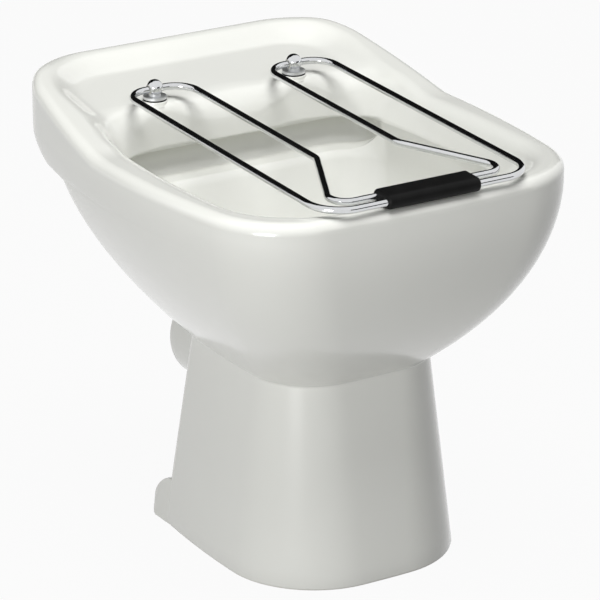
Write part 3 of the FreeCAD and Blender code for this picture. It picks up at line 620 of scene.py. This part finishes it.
class PanShape:
    """The china pan as closed loops of points, from sizes and the places of the hinge posts."""

    # Where the deck's floor bends, where its dish fades in, and how far a mound stays below its boss
    FLOOR_BEND = 3 * MM
    DISH_START = -20 * MM
    DISH_FULL = 40 * MM
    BOSS_STEP = 0.5 * MM
    # How far a wall faces to the rear where the brow or the flush slot starts, and where it is full
    BROW_FACING = (0.35, 0.95)
    SLOT_FACING = (0.15, 0.9)
    SLOT_END_HEIGHT = 0.35

    def __init__(self, sizes, posts):
        self.sizes = sizes
        self.posts = posts

    def bowl(self, share, inset=0.0, rear=None):
        """Loops and levels of the bowl's outside, or of a wall inside it, at shares of its height."""
        s = self.sizes
        share = np.atleast_1d(share)
        widest = lerp((s.neck_rear - s.neck_front) / 2, (s.deck_rear - s.rim_front) / 2, share)
        back = swell(s.neck_rear, s.bowl_rear, share, s.rear_belly) if rear is None else rear
        rows = row_sizes(
            swell(s.neck_half_width, s.rim_half_width, share, s.side_belly) - inset,
            swell(s.neck_front, s.rim_front, share, s.front_belly) - inset,
            back - inset,
            swell(s.neck_front_corner, s.rim_front_corner, share, s.front_belly) - inset,
            swell(s.neck_rear_corner, s.rim_rear_corner, share, s.side_belly) - inset,
            widest,
        )
        level = lerp(s.neck_level, s.wall_level, share)
        return raised(plan(rows, s.bow), level[:, None])

    def overhang(self, step):
        """The bowl where the deck overhangs it, at steps up the overhang."""
        s = self.sizes
        rear = swell(s.deck_rear - s.overhang_inset, s.deck_rear, step, s.overhang_belly)
        return self.bowl(lerp(s.overhang_start, 1.0, step), rear=rear)

    def pedestal(self, level, inset=0.0):
        """The pedestal's straight flare at levels above the floor."""
        s = self.sizes
        share = np.atleast_1d(level) / s.neck_level
        half = lerp(s.foot_half_width, s.neck_half_width, share)
        front = lerp(s.foot_front, s.neck_front, share)
        rear = lerp(s.foot_rear, s.neck_rear, share)
        front_corner = lerp(s.foot_front_corner, s.neck_front_corner, share)
        rear_corner = lerp(s.foot_rear_corner, s.neck_rear_corner, share)
        rows = row_sizes(half - inset, front - inset, rear - inset, front_corner - inset, rear_corner - inset,
                         (rear - front) / 2)
        return raised(plan(rows, s.bow), np.atleast_1d(level)[:, None])

    def funnel(self, level, outset=0.0):
        """The funnel's water side, or its outer wall, at levels from the sump to the ledge."""
        s = self.sizes
        level = np.atleast_1d(level)
        share = np.clip((level - s.sump_level) / (s.ledge_level - s.sump_level), 0, 1)
        front = swell(s.sump_radius + s.sump_ahead, s.ledge_front, share, s.funnel_belly)
        rear = swell(s.sump_radius - s.sump_ahead, s.ledge_rear, share, s.funnel_rear_belly)
        rows = row_sizes(
            swell(s.sump_radius, s.ledge_half_width, share, s.funnel_belly) + outset,
            front + outset,
            rear + outset,
            swell(s.sump_corner, s.ledge_front_corner, share, s.funnel_belly) + outset,
            swell(s.sump_corner, s.ledge_rear_corner, share, s.funnel_belly) + outset,
            (rear - front) / 2,
        )
        return raised(plan(rows, s.bow), level[:, None])

    def mouth(self, levels):
        """The sloping mouth wall: each point of the loop at its own level."""
        s = self.sizes
        low, high = (
            plan(row_sizes(half, front, rear, front_corner, rear_corner, (rear - front) / 2), s.bow)
            for half, front, rear, front_corner, rear_corner in (
                (s.ledge_half_width, s.ledge_front, s.ledge_rear, s.ledge_front_corner, s.ledge_rear_corner),
                (s.mouth_half_width, s.mouth_front, s.mouth_rear, s.mouth_front_corner, s.mouth_rear_corner),
            )
        )
        share = (levels - s.ledge_level) / (s.rim_level - s.ledge_level)
        return raised(lerp(low, high, np.atleast_2d(share)[..., None]), np.atleast_2d(levels))

    def edge_height(self, along):
        """Height of the outer edge: a slope at the front, level sides, a double bend up to the deck."""
        s = self.sizes
        return bent_line(along, [
            (-s.rim_front, s.front_level, 0),
            (-s.front_dip, s.rim_level, s.dip_radius),
            (s.rise_start, s.rim_level, s.rise_radius),
            (s.rise_end, s.deck_level, s.rise_radius),
            (s.deck_rear, s.deck_level, 0),
        ])

    def land_height(self, points):
        """Height of the top: the outer edge's level, sunk to the deck's sloping floor in a rounded outline.

        A soft mound lifts the floor to the boss under each hinge post.
        """
        s = self.sizes
        across, along = np.abs(points[..., 0]), points[..., 1]
        edge = self.edge_height(along)
        slope = (s.dish_rear_level - s.dish_front_level) / (s.dish_rear - s.dish_front)
        flat = s.dish_front_level + (along - s.dish_front) * slope
        floor = s.rim_level + above(flat - s.rim_level, self.FLOOR_BEND)
        past_x = across - (s.dish_half_width - s.dish_corner)
        past_y = along - (s.dish_rear - s.dish_corner)
        outside = np.hypot(np.maximum(past_x, 0), np.maximum(past_y, 0))
        distance = outside + np.minimum(np.maximum(past_x, past_y), 0) - s.dish_corner
        rise = smooth_step(-s.dish_softness, 0.0, distance)
        deck = smooth_step(s.rise_start + self.DISH_START, s.rise_start + self.DISH_FULL, along)
        height = edge - np.maximum(edge - floor, 0) * (1 - rise) * deck
        for post in self.posts:
            away = np.hypot(points[..., 0] - post[0], along - post[1])
            mound = 1 - smooth_step(s.boss_radius, s.mound_reach, away)
            height = height + above(s.boss_level - self.BOSS_STEP - height, self.FLOOR_BEND / 2) * mound
        return height

    def top(self):
        """From the mouth's rounded edge over the land and the rounded rim to the foot of the upright wall."""
        s = self.sizes
        rim = self.bowl(1.0, rear=s.deck_rear)[0, :, :2]
        rim_normal = outward(rim)
        lip = self.mouth(np.full(len(rim), s.rim_level))[0, :, :2]
        rounds_to_meet = 3
        for _ in range(rounds_to_meet):
            lip_level = self.land_height(lip)
            lip = self.mouth(lip_level)[0, :, :2]
        lip_normal = outward(lip)
        brow = np.full(len(lip), s.brow_rounding)
        for post in self.posts:
            near = np.exp(-((lip[:, 0] - post[0]) / s.shoulder_reach) ** 2)
            brow = lerp(brow, s.shoulder_rounding, near)
        rounding = lerp(s.mouth_rounding, brow, smooth_step(*self.BROW_FACING, lip_normal[:, 1]))
        start_plan = lip + lip_normal * rounding[:, None]
        start = raised(start_plan, self.land_height(start_plan))
        corner = raised(lip, lip_level)
        end = self.mouth(lip_level - rounding)[0]
        bend = shares(9)[::-1, None, None]
        edge = (1 - bend) ** 2 * start + 2 * bend * (1 - bend) * corner + bend ** 2 * end
        apron_share = shares(8)[:-1, None]
        apron = self.mouth(lerp(s.ledge_level, end[:, 2], apron_share))
        edge_plan = rim - rim_normal * s.rim_rounding
        land_plan = lerp(start_plan, edge_plan, shares(46)[1:-1, None, None])
        land = raised(land_plan, self.land_height(land_plan))
        angle = np.linspace(QUARTER_TURN, 0, 10)[:, None]
        roll_plan = rim - rim_normal * (s.rim_rounding * (1 - np.cos(angle)))[..., None]
        roll_drop = s.rim_rounding * (1 - np.sin(angle))
        roll = raised(roll_plan, self.edge_height(roll_plan[..., 1]) - roll_drop)
        wall_top = self.edge_height(rim[:, 1]) - s.rim_rounding
        drop = shares(9)[1:-1, None]
        wall = raised(np.broadcast_to(rim, (len(drop), *rim.shape)), lerp(wall_top, s.wall_level, drop))
        return [apron, edge, land, roll, wall]

    def between(self, loops, share):
        """Points between evenly spaced loops, each at its own share of the way from the first to the last."""
        place = np.clip(share, 0, 1) * (len(loops) - 1)
        low = np.minimum(place.astype(int), len(loops) - 2)
        column = np.arange(loops.shape[1])[None]
        return lerp(loops[low, column], loops[low + 1, column], (place - low)[..., None])

    def flush_slot(self):
        """From the funnel up: slot floor, back wall and underside of the apron, fading out at the sides.

        Each point of the funnel's wall moves out along the wall's own normal. The slot is full where that
        normal points to the rear, and grows shallow and low as it turns to the sides.
        """
        s = self.sizes
        turn_steps, wall_steps = 6, 8
        floor_level = s.ledge_level - s.slot_height
        levels = np.concatenate([
            np.linspace(floor_level, floor_level + EDGE, turn_steps),
            np.linspace(floor_level + 2 * EDGE, s.ledge_level - 2 * EDGE, wall_steps),
            np.linspace(s.ledge_level - EDGE, s.ledge_level - EDGE / 5, turn_steps),
        ])
        way_out, way_back = shares(turn_steps), 1 - shares(turn_steps + 1)[:-1]
        depth = np.concatenate([way_out, np.ones(wall_steps), way_back])[:, None]
        loops = self.funnel(np.linspace(floor_level, s.ledge_level, 31))
        facing = outward(loops[-1, :, :2])
        full = smooth_step(*self.SLOT_FACING, facing[:, 1])
        drop = (s.ledge_level - levels[:, None]) * lerp(self.SLOT_END_HEIGHT, 1.0, full)
        wall = self.between(loops, 1 - drop / s.slot_height)
        wall[..., :2] += (full * depth * (s.slot_rear - s.ledge_rear))[..., None] * facing
        return wall

    def trap_rings(self, route, radius, angles):
        """Rings of a radius round a route in the plane X = 0; angle 0 faces the front at its start."""
        heading = np.gradient(route, axis=0)
        heading /= np.linalg.norm(heading, axis=1, keepdims=True)
        facing = np.stack([heading[:, 1], -heading[:, 0]], axis=1)
        radius = np.broadcast_to(radius, len(route))[:, None]
        across = radius * np.sin(angles)
        out = radius * np.cos(angles)
        return np.stack([
            np.broadcast_to(across, out.shape),
            route[:, :1] + out * facing[:, :1],
            route[:, 1:] + out * facing[:, 1:],
        ], axis=-1)

    def trap_route(self, start):
        """The water way's middle line: down from the sump, to the rear, up over the weir and out."""
        s = self.sizes
        return bent_route([
            (-s.sump_ahead, start, 0),
            (-s.sump_ahead, s.trap_low, s.trap_bend),
            (s.trap_rear, s.trap_low, s.trap_bend),
            (s.trap_rear, s.trap_high, s.trap_bend),
            (s.outlet_end - s.outlet_socket, s.trap_high, 0),
        ], closed=False)

    def spigot(self, angles):
        """Collar, outside, end and bore of the waste spigot: rings from its root to the end and back in."""
        s = self.sizes
        cut = CUT * EDGE
        root = s.neck_rear - s.wall / 2
        collar = s.outlet_radius + s.collar_step
        bore_end = s.outlet_end - s.outlet_socket
        stations = np.concatenate([
            [[place, collar] for place in np.linspace(root, s.collar_end - EDGE, 6)],
            [[s.collar_end - cut, collar - cut], [s.collar_end, collar - EDGE]],
            [[place, s.outlet_radius] for place in np.linspace(s.collar_end, s.outlet_end - EDGE, 8)],
            [[s.outlet_end - cut, s.outlet_radius - cut]],
            [[s.outlet_end, s.outlet_radius - EDGE], [s.outlet_end, s.outlet_bore + EDGE]],
            [[s.outlet_end - cut, s.outlet_bore + cut]],
            [[place, s.outlet_bore] for place in np.linspace(s.outlet_end - EDGE, bore_end, 6)],
        ])
        ring_x = stations[:, 1:] * np.sin(angles)
        ring_z = s.outlet_level - stations[:, 1:] * np.cos(angles)
        ring_y = np.broadcast_to(stations[:, :1], ring_x.shape)
        return np.stack([ring_x, ring_y, ring_z], axis=-1)

    def casting(self):
        """The whole casting as one closed grid, and how bare of glaze each point is.

        The loops run from the sump up the funnel, over the rim, down the outside, under the foot and up the
        hollow, then along the trap's outside to the spigot and back through the water way.
        """
        s = self.sizes
        sump_to_slot = lerp(s.sump_level, s.ledge_level - s.slot_height, shares(30, power=1.5))
        funnel = self.funnel(sump_to_slot[:-1])
        sump = funnel[0]
        angles = np.arctan2(sump[:, 0], -(sump[:, 1] + s.sump_ahead))[None]
        fold = np.array([0.06, 0.02, 0.0])
        overhang = self.overhang(np.concatenate([1 - shares(16)[:-1] * (1 - fold[0]), fold]))
        under_fold = np.concatenate([[0.03, 0.05], lerp(0.08, 0.995, shares(30))])
        bowl = self.bowl(s.overhang_start * (1 - under_fold))
        shelf = lerp(overhang[-1], bowl[0], shares(12)[1:-1, None, None])
        crease = s.neck_level - 0.4 * MM
        flare = lerp(s.neck_level - 2 * MM, FOOT_EDGE, shares(14))
        pedestal = self.pedestal(np.concatenate([[crease], flare]))
        cut = CUT * FOOT_EDGE
        foot = raised(np.concatenate([
            self.pedestal(cut, cut)[..., :2],
            self.pedestal(0.0, FOOT_EDGE)[..., :2],
            self.pedestal(0.0, s.wall - FOOT_EDGE)[..., :2],
        ]), np.array([cut, 0.0, 0.0])[:, None])
        hollow_low = self.pedestal(lerp(cut, s.neck_level, shares(8)), s.wall)
        hollow_high = self.bowl(s.hollow_end * shares(12)[1:], s.wall)
        hollow_top = hollow_high[-1, 0, 2]
        funnel_back = self.funnel(lerp(hollow_top, s.sump_level, shares(12)), s.wall)
        ceiling = lerp(hollow_high[-1], funnel_back[0], shares(6)[1:-1, None, None])
        outer_route = self.trap_route(s.sump_level - FOOT_EDGE)
        rising = np.argmax(outer_route[:, 0] > s.trap_rear - FOOT_EDGE)
        rising_steps = 6
        outer_route = outer_route[:rising + rising_steps]
        outer_trap = self.trap_rings(outer_route, s.trap_radius + s.trap_wall, angles)
        spigot = self.spigot(angles)
        inner_route = self.trap_route(s.sump_level - 6 * FOOT_EDGE)
        inner_trap = self.trap_rings(inner_route, s.trap_radius, angles)[::-1]
        glazed = [funnel, self.flush_slot(), *self.top(), overhang, shelf, bowl, pedestal]
        bare = [foot, hollow_low, hollow_high, ceiling, funnel_back, outer_trap]
        water_way = [spigot, inner_trap]
        grid = np.concatenate(glazed + bare + water_way)
        flags = np.zeros(len(grid))
        bare_start = sum(len(group) for group in glazed)
        flags[bare_start:bare_start + sum(len(group) for group in bare)] = 1
        shut_in = 1 - smooth_step(s.neck_rear, s.foot_rear, grid[..., 1])
        return grid, flags[:, None] * shut_in


def inlet_patch(grid, sizes):
    """Cuts a window in the grid's rear face and fills it with rings that run to a round bore.

    Returns which faces to keep, and the rings: from the window's border to the bore's edge, on the rear
    face's own curve, then down the bore.
    """
    rows, columns = grid.shape[:2]
    middle = FRONT_STEPS + 2 * CORNER_STEPS + SIDE_STEPS + REAR_STEPS
    window = 1.55
    reach = sizes.inlet_radius * window
    rear_line = grid[:, middle]
    outer = np.flatnonzero((rear_line[:, 1] > sizes.deck_rear - 2 * sizes.rim_rounding)
                           & (np.abs(rear_line[:, 2] - sizes.inlet_level) < reach))
    first, last = outer[0], outer[-1]
    near = np.flatnonzero(np.abs(grid[first, :, 0]) < reach)
    near = near[np.abs(near - middle) < REAR_STEPS]
    low, high = near[0], near[-1]
    border = np.concatenate([
        grid[first, low:high],
        grid[first:last, high],
        grid[last, high:low:-1],
        grid[last:first:-1, low],
    ])
    margin = 6
    curve = rear_line[first - margin:last + margin + 1]
    curve = curve[np.argsort(curve[:, 2])]
    from_axis = border[:, [0, 2]] - (0, sizes.inlet_level)
    unit = from_axis / np.linalg.norm(from_axis, axis=1, keepdims=True)
    flare = unit * (sizes.inlet_radius + EDGE)
    across = lerp(from_axis, flare, shares(6)[:, None, None])
    face = np.interp(across[..., 1] + sizes.inlet_level, curve[:, 2], curve[:, 1])
    face[0] = border[:, 1]
    lead = np.array([[CUT, CUT], [0.0, 1.0]]) * EDGE
    lead_plan = unit * (sizes.inlet_radius + lead[:, :1])[:, None]
    lead_depth = face[-1] - lead[:, 1:]
    bore_steps = 6
    bore_plan = np.broadcast_to(unit * sizes.inlet_radius, (bore_steps, *unit.shape))
    bore_end = sizes.deck_rear - sizes.inlet_depth
    bore_depth = lerp(face[-1] - 2 * EDGE, bore_end, shares(bore_steps)[:, None])
    plans = np.concatenate([across, lead_plan, bore_plan])
    depth = np.concatenate([face, lead_depth, bore_depth])
    rings = np.stack([plans[..., 0], depth, plans[..., 1] + sizes.inlet_level], axis=-1)
    keep = np.ones((rows, columns), bool)
    keep[first:last, low:high] = False
    return keep, rings


def lug_grid(lug, sign, lean):
    """A foot lug as a closed grid: up its stepped screw hole, over the rounded top, down the sides and under.

    Its plan is a rounded box about the screw hole. Its outer side leans in as it rises, by the pedestal's own
    slope, so that the two are flush.
    """
    angle = np.linspace(0, FULL_TURN, 64, endpoint=False)[None]
    cosine, sine = np.cos(angle), np.sin(angle)
    right = np.where(cosine > 0, lug.outer - lug.screw_half_spacing, lug.screw_half_spacing - lug.inner)
    behind = np.where(sine > 0, lug.rear - lug.screw_rear, lug.screw_rear - lug.front)
    boxiness = 5.0
    flush_share = 0.35
    rim = ((np.abs(cosine) / right) ** boxiness + (np.abs(sine) / behind) ** boxiness) ** (-1 / boxiness)
    edge = lug.edge
    cut = CUT * edge
    heel_facing = (0.2, 0.9)
    heel = lerp(edge, lug.heel, smooth_step(*heel_facing, sine))
    bottom = np.linspace(0, QUARTER_TURN, 6)[:, None]
    hole = np.array([[lug.hole], [lug.hole], [lug.recess], [lug.recess], [lug.recess + cut]])
    radius = np.concatenate([
        np.broadcast_to(hole, (len(hole), rim.shape[1])),
        lerp(lug.recess + 2 * cut, rim - edge, shares(6)[1:, None]),
        rim - cut,
        rim,
        rim - heel * (1 - np.cos(bottom)),
    ])
    along = lug.screw_rear + radius * sine
    bend = np.clip(along - (lug.rear - lug.rounding), 0, lug.rounding)
    roof = lug.height - (lug.rounding - np.sqrt(lug.rounding ** 2 - bend ** 2))
    step = lug.height - lug.recess_depth
    level = roof.copy()
    level[0] = 0.0
    level[1:3] = step
    level[3] = np.maximum(roof[3] - cut, step)
    side_row = -len(bottom) - 1
    level[side_row - 1] -= cut
    level[side_row] -= edge
    level[-len(bottom):] = heel * (1 - np.sin(bottom))
    across = lug.screw_half_spacing + radius * cosine
    outer_share = (across - lug.screw_half_spacing) / (lug.outer - lug.screw_half_spacing)
    across = across + np.clip(outer_share, 0, 1) * lean * (flush_share * lug.height - level)
    return np.stack([sign * across, along, level], axis=-1)


def boss_grid(sizes, place):
    """A flat round boss with a flared foot that stands out of the deck: rings from the foot to the top."""
    soft = 0.8 * MM
    cut = CUT * soft
    flare, depth = 1.5 * MM, 5 * MM
    skirt = shares(8)[::-1]
    skirt_radius = sizes.boss_radius + flare * skirt ** 2
    skirt_level = sizes.boss_level - lerp(soft, depth, skirt)
    stations = np.array([
        *zip(skirt_radius, skirt_level),
        [sizes.boss_radius - cut, sizes.boss_level - cut],
        [sizes.boss_radius - soft, sizes.boss_level],
        [0.5 * sizes.boss_radius, sizes.boss_level],
    ])
    angle = np.linspace(0, FULL_TURN, 48, endpoint=False)[None]
    across = place[0] + stations[:, :1] * np.cos(angle)
    along = place[1] + stations[:, :1] * np.sin(angle)
    return raised(np.stack([across, along], axis=-1), stations[:, 1:])


# The grate

def hinge_turn(points, grate):
    """Points of the grate's own flat plane put at the hinge, falling to the front bars' level."""
    centre = np.array(HINGE["pos_m"])
    reach = grate.reach - grate.bar_spacing / 2
    fall = math.asin((centre[2] - grate.bar_level) / reach)
    cosine, sine = math.cos(fall), math.sin(fall)
    turn = np.array([[1, 0, 0], [0, cosine, -sine], [0, sine, cosine]])
    return points @ turn.T + centre


def rod_grid(grate):
    """A round section carried along the closed route of the bent rod."""
    half = [
        (grate.outer_half, -grate.reach, grate.outer_bend),
        (grate.outer_half, 0, grate.hinge_bend),
        (grate.inner_half, 0, grate.hinge_bend),
        (grate.inner_half, -grate.inner_reach, grate.jog_bend),
        (grate.inner_corner, grate.bar_spacing - grate.reach, grate.inner_bend),
    ]
    mirrored = [(-across, along, bend) for across, along, bend in reversed(half)]
    route = bent_route(half + mirrored, closed=True, arc_steps=16, run_steps=12)
    heading = np.roll(route, -1, axis=0) - np.roll(route, 1, axis=0)
    heading /= np.linalg.norm(heading, axis=1, keepdims=True)
    side = np.stack([heading[:, 1], -heading[:, 0]], axis=1)
    angle = np.linspace(0, FULL_TURN, 28, endpoint=False)[None, :, None]
    flat = route[:, None] + side[:, None] * np.cos(angle) * grate.rod_radius
    level = np.broadcast_to(np.sin(angle[..., 0]) * grate.rod_radius, flat.shape[:2])
    return hinge_turn(np.concatenate([flat, level[..., None]], axis=-1), grate)


def pad_grid(grate):
    """A rounded section carried across X, drawn in at both ends."""
    corner_steps, run_steps = 14, 12
    corner = grate.pad_rounding
    turns = np.arange(4)[:, None] + shares(corner_steps)
    angle = turns.reshape(-1) * QUARTER_TURN
    sign_y = np.repeat([1, -1, -1, 1], corner_steps)
    sign_z = np.repeat([1, 1, -1, -1], corner_steps)
    end = grate.pad_end
    half = grate.pad_length / 2
    bend = np.linspace(0, QUARTER_TURN, 7)[:-1]
    drawn_in = end * (1 - np.sin(bend))
    from_end = end * (1 - np.cos(bend))
    inset = np.concatenate([drawn_in, np.zeros(run_steps), drawn_in[::-1]])
    run = np.linspace(end - half, half - end, run_steps)
    place = np.concatenate([from_end - half, run, half - from_end[::-1]])
    radius = corner - inset[:, None]
    along = sign_y * (grate.pad_width / 2 - corner) + radius * np.cos(angle)
    level = sign_z * (grate.pad_height / 2 - corner) + radius * np.sin(angle)
    along = along - (grate.reach - grate.bar_spacing / 2)
    across = np.broadcast_to(place[:, None], along.shape)
    return hinge_turn(np.stack([across, along, level], axis=-1), grate)


# Operators

class HOPPER_OT_pan(bpy.types.Operator):
    """Builds the china pan with its lugs and bosses"""
    bl_idname = "hopper.pan"
    bl_label = "China Pan"

    def execute(self, context):
        sizes = context.scene.hopper_pan
        lug = context.scene.hopper_lug
        posts = [np.mean(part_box(f"hinge_post_{side}"), axis=0) for side in SIDES]
        grid, flags = PanShape(sizes, posts).casting()
        keep, rings = inlet_patch(grid, sizes)
        shell = Shell()
        shell.add(grid, close_rows=True, bare=flags, keep=keep.reshape(-1))
        shell.add(rings, caps=(-1,))
        lean = (sizes.foot_half_width - sizes.neck_half_width) / sizes.neck_level
        for sign in (-1, 1):
            shell.add(lug_grid(lug, sign, lean), close_rows=True)
        for post in posts:
            shell.add(boss_grid(sizes, post), caps=(0, -1))
        piece = shell.make("china_pan", china_finish(context.scene.hopper_finishes))
        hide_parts("pan")
        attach(piece, "pan")
        return {"FINISHED"}


class HOPPER_OT_grate(bpy.types.Operator):
    """Builds the bent chrome rod and its rubber pad"""
    bl_idname = "hopper.grate"
    bl_label = "Bucket Grate"

    def execute(self, context):
        grate = context.scene.hopper_grate
        tones = context.scene.hopper_finishes
        rod_shell = Shell()
        rod_shell.add(rod_grid(grate), close_rows=True)
        chrome = metal_finish("polished chrome", tones.chrome, tones.chrome_shade, rough=0.05,
                              streak=(1, 0.2, 1))
        rod = rod_shell.make("chrome_rod", chrome)
        pad_shell = Shell()
        pad_shell.add(pad_grid(grate), caps=(0, -1))
        rubber = moulded_finish("black rubber", tones.rubber, tones.rubber_worn, rough=0.34,
                                grain_scale=1500.0, grain_strength=0.2, shine=0.1)
        pad = pad_shell.make("rubber_pad", rubber)
        for piece, node, slot in ((rod, "grate_rod", "chrome"), (pad, "grip_pad", "black_rubber")):
            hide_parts(node)
            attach(piece, "grate")
        return {"FINISHED"}


class HOPPER_OT_fittings(bpy.types.Operator):
    """Gives the hinge posts, bushes, gaskets, plugs and nuts their finishes"""
    bl_idname = "hopper.fittings"
    bl_label = "Hinge Fittings"

    def execute(self, context):
        tones = context.scene.hopper_finishes
        flange_below_hinge = 5 * MM
        flange_top = HINGE["pos_m"][2] - flange_below_hinge
        chrome = metal_finish("turned chrome", tones.chrome, tones.chrome_shade, rough=0.06,
                              streak=(1, 1, 0.2), satin_below=flange_top)
        brass = metal_finish("turned brass", tones.brass, tones.brass_shade, rough=0.22, streak=(1, 1, 6))
        nylon = moulded_finish("natural nylon", tones.nylon, tones.nylon_shade, rough=0.42,
                               grain_scale=900.0, grain_strength=0.12)
        rubber = moulded_finish("soft black rubber", tones.rubber, tones.rubber_worn, rough=0.5,
                                grain_scale=1800.0, grain_strength=0.3, shine=0.2)
        finishes = {
            "hinge_post": chrome,
            "hinge_bush": nylon,
            "post_gasket": rubber,
            "post_plug": rubber,
            "wedge_nut": brass,
        }
        for kind, finish in finishes.items():
            for side in SIDES:
                mesh = frame["nodes"][f"{kind}_{side}"].data
                mesh.materials.clear()
                mesh.materials.append(finish)
        return {"FINISHED"}


class HOPPER_OT_stage(bpy.types.Operator):
    """Makes the pale floor, the studio light and the camera"""
    bl_idname = "hopper.stage"
    bl_label = "Stage"

    def seen(self, finish):
        """1 for what the camera sees directly or in gloss or glass."""
        direct, gloss, glass = (finish.node("ShaderNodeLightPath", output=f"Is {kind} Ray")
                                for kind in ("Camera", "Glossy", "Transmission"))
        return direct.math("MAXIMUM", direct.math("MAXIMUM", direct, gloss), glass)

    def aimed(self, name, data, place, aim):
        """Puts a lamp or camera at a place and points it."""
        made = bpy.data.objects.new(name, data)
        made.location = place
        made.rotation_euler = (Vector(aim) - Vector(place)).to_track_quat("-Z", "Y").to_euler()
        bpy.context.scene.collection.objects.link(made)
        return made

    def lamp(self, name, place, aim, size, power, in_gloss):
        """A round soft lamp, which gloss shows or not."""
        data = bpy.data.lights.new(name, "AREA")
        data.shape = "DISK"
        data.size = size
        data.energy = power
        self.aimed(name, data, place, aim).visible_glossy = in_gloss

    def sheet(self, name, corners, paper):
        """A flat four-cornered piece of the stage."""
        mesh = bpy.data.meshes.new(name)
        mesh.from_pydata(corners, [], [(0, 1, 2, 3)])
        mesh.materials.append(paper)
        made = bpy.data.objects.new(name, mesh)
        bpy.context.scene.collection.objects.link(made)
        return made

    def card(self, name, edges, colour):
        """A dark card, seen only in gloss, that gives the chrome its dark streaks."""
        place, left, right, low, high = edges
        corners = [(right, place, low), (left, place, low), (left, place, high), (right, place, high)]
        paper, finish = material("dark card")
        finish.output(finish.node("ShaderNodeBsdfDiffuse", {}, {"Color": opaque(colour)}))
        made = self.sheet(name, corners, paper)
        for kind in ("camera", "diffuse", "transmission", "volume_scatter", "shadow"):
            setattr(made, f"visible_{kind}", False)

    def surround(self, room_light):
        """A world that lights evenly, and that camera, gloss and glass see as plain white."""
        world = bpy.data.worlds.new("studio")
        air = Finish(world)
        seen = self.seen(air)
        room, backdrop = (air.node("ShaderNodeBackground", {}, {"Color": WHITE, "Strength": strength})
                          for strength in (room_light, 1.0))
        shader = air.node("ShaderNodeMixShader", {}, {0: seen, 1: room, 2: backdrop})
        air.output(shader, "ShaderNodeOutputWorld")
        return world

    def paper(self, colour, shadow):
        """Pale floor, seen white with a share of its shadow, that lights the object by its colour."""
        made, finish = material("pale floor")
        matt = finish.node("ShaderNodeBsdfDiffuse", {}, {"Color": opaque(colour)})
        glow = finish.node("ShaderNodeEmission", {}, {"Color": WHITE, "Strength": 1.0})
        shown = finish.node("ShaderNodeMixShader", {}, {0: shadow, 1: glow, 2: matt})
        finish.output(finish.node("ShaderNodeMixShader", {}, {0: self.seen(finish), 1: matt, 2: shown}))
        return made

    def execute(self, context):
        scene = context.scene
        stage = scene.hopper_stage
        scene.world = self.surround(stage.room_light)
        half = stage.floor_half
        corners = [(-half, -half, 0), (half, -half, 0), (half, half, 0), (-half, half, 0)]
        self.sheet("studio_floor", corners, self.paper(stage.floor, stage.floor_shadow))
        self.card("rear_card", stage.rear_card, stage.card)
        self.card("front_card", stage.front_card, stage.card)
        aim = stage.lamp_aim
        self.lamp("top_lamp", stage.top_place, aim, stage.top_size, stage.top_light, in_gloss=False)
        self.lamp("side_lamp", stage.side_place, aim, stage.side_size, stage.side_light, in_gloss=True)
        data = bpy.data.cameras.new("photo_camera")
        data.lens = stage.camera_lens
        data.sensor_width = stage.camera_sensor
        data.clip_end = stage.camera_far
        scene.camera = self.aimed("photo_camera", data, stage.camera_place, stage.camera_aim)
        scene.view_settings.view_transform = "Standard"
        return {"FINISHED"}


class HOPPER_PT_panel(bpy.types.Panel):
    """Lists what makes the hopper"""
    bl_label = "Slop Hopper"
    bl_idname = "HOPPER_PT_panel"
    bl_space_type = "VIEW_3D"
    bl_region_type = "UI"
    bl_category = "Hopper"

    def draw(self, context):
        for operator in OPERATORS:
            self.layout.operator(operator.bl_idname)
        for name in GROUPS:
            group = getattr(context.scene, name)
            box = self.layout.box()
            for key in group.bl_rna.properties.keys():
                if key not in ("rna_type", "name"):
                    box.prop(group, key)


OPERATORS = (HOPPER_OT_pan, HOPPER_OT_grate, HOPPER_OT_fittings, HOPPER_OT_stage)
GROUPS = {
    "hopper_pan": PanSizes,
    "hopper_lug": LugSizes,
    "hopper_grate": GrateSizes,
    "hopper_finishes": Finishes,
    "hopper_stage": StageSettings,
}


def register():
    for item in (*GROUPS.values(), *OPERATORS, HOPPER_PT_panel):
        bpy.utils.register_class(item)
    for name, group in GROUPS.items():
        setattr(bpy.types.Scene, name, PointerProperty(type=group))


def unregister():
    for name in GROUPS:
        delattr(bpy.types.Scene, name)
    for item in reversed((*GROUPS.values(), *OPERATORS, HOPPER_PT_panel)):
        bpy.utils.unregister_class(item)


def main():
    register()
    bpy.ops.hopper.pan()
    bpy.ops.hopper.grate()
    bpy.ops.hopper.fittings()
    bpy.ops.hopper.stage()


if __name__ == "__main__":
    main()
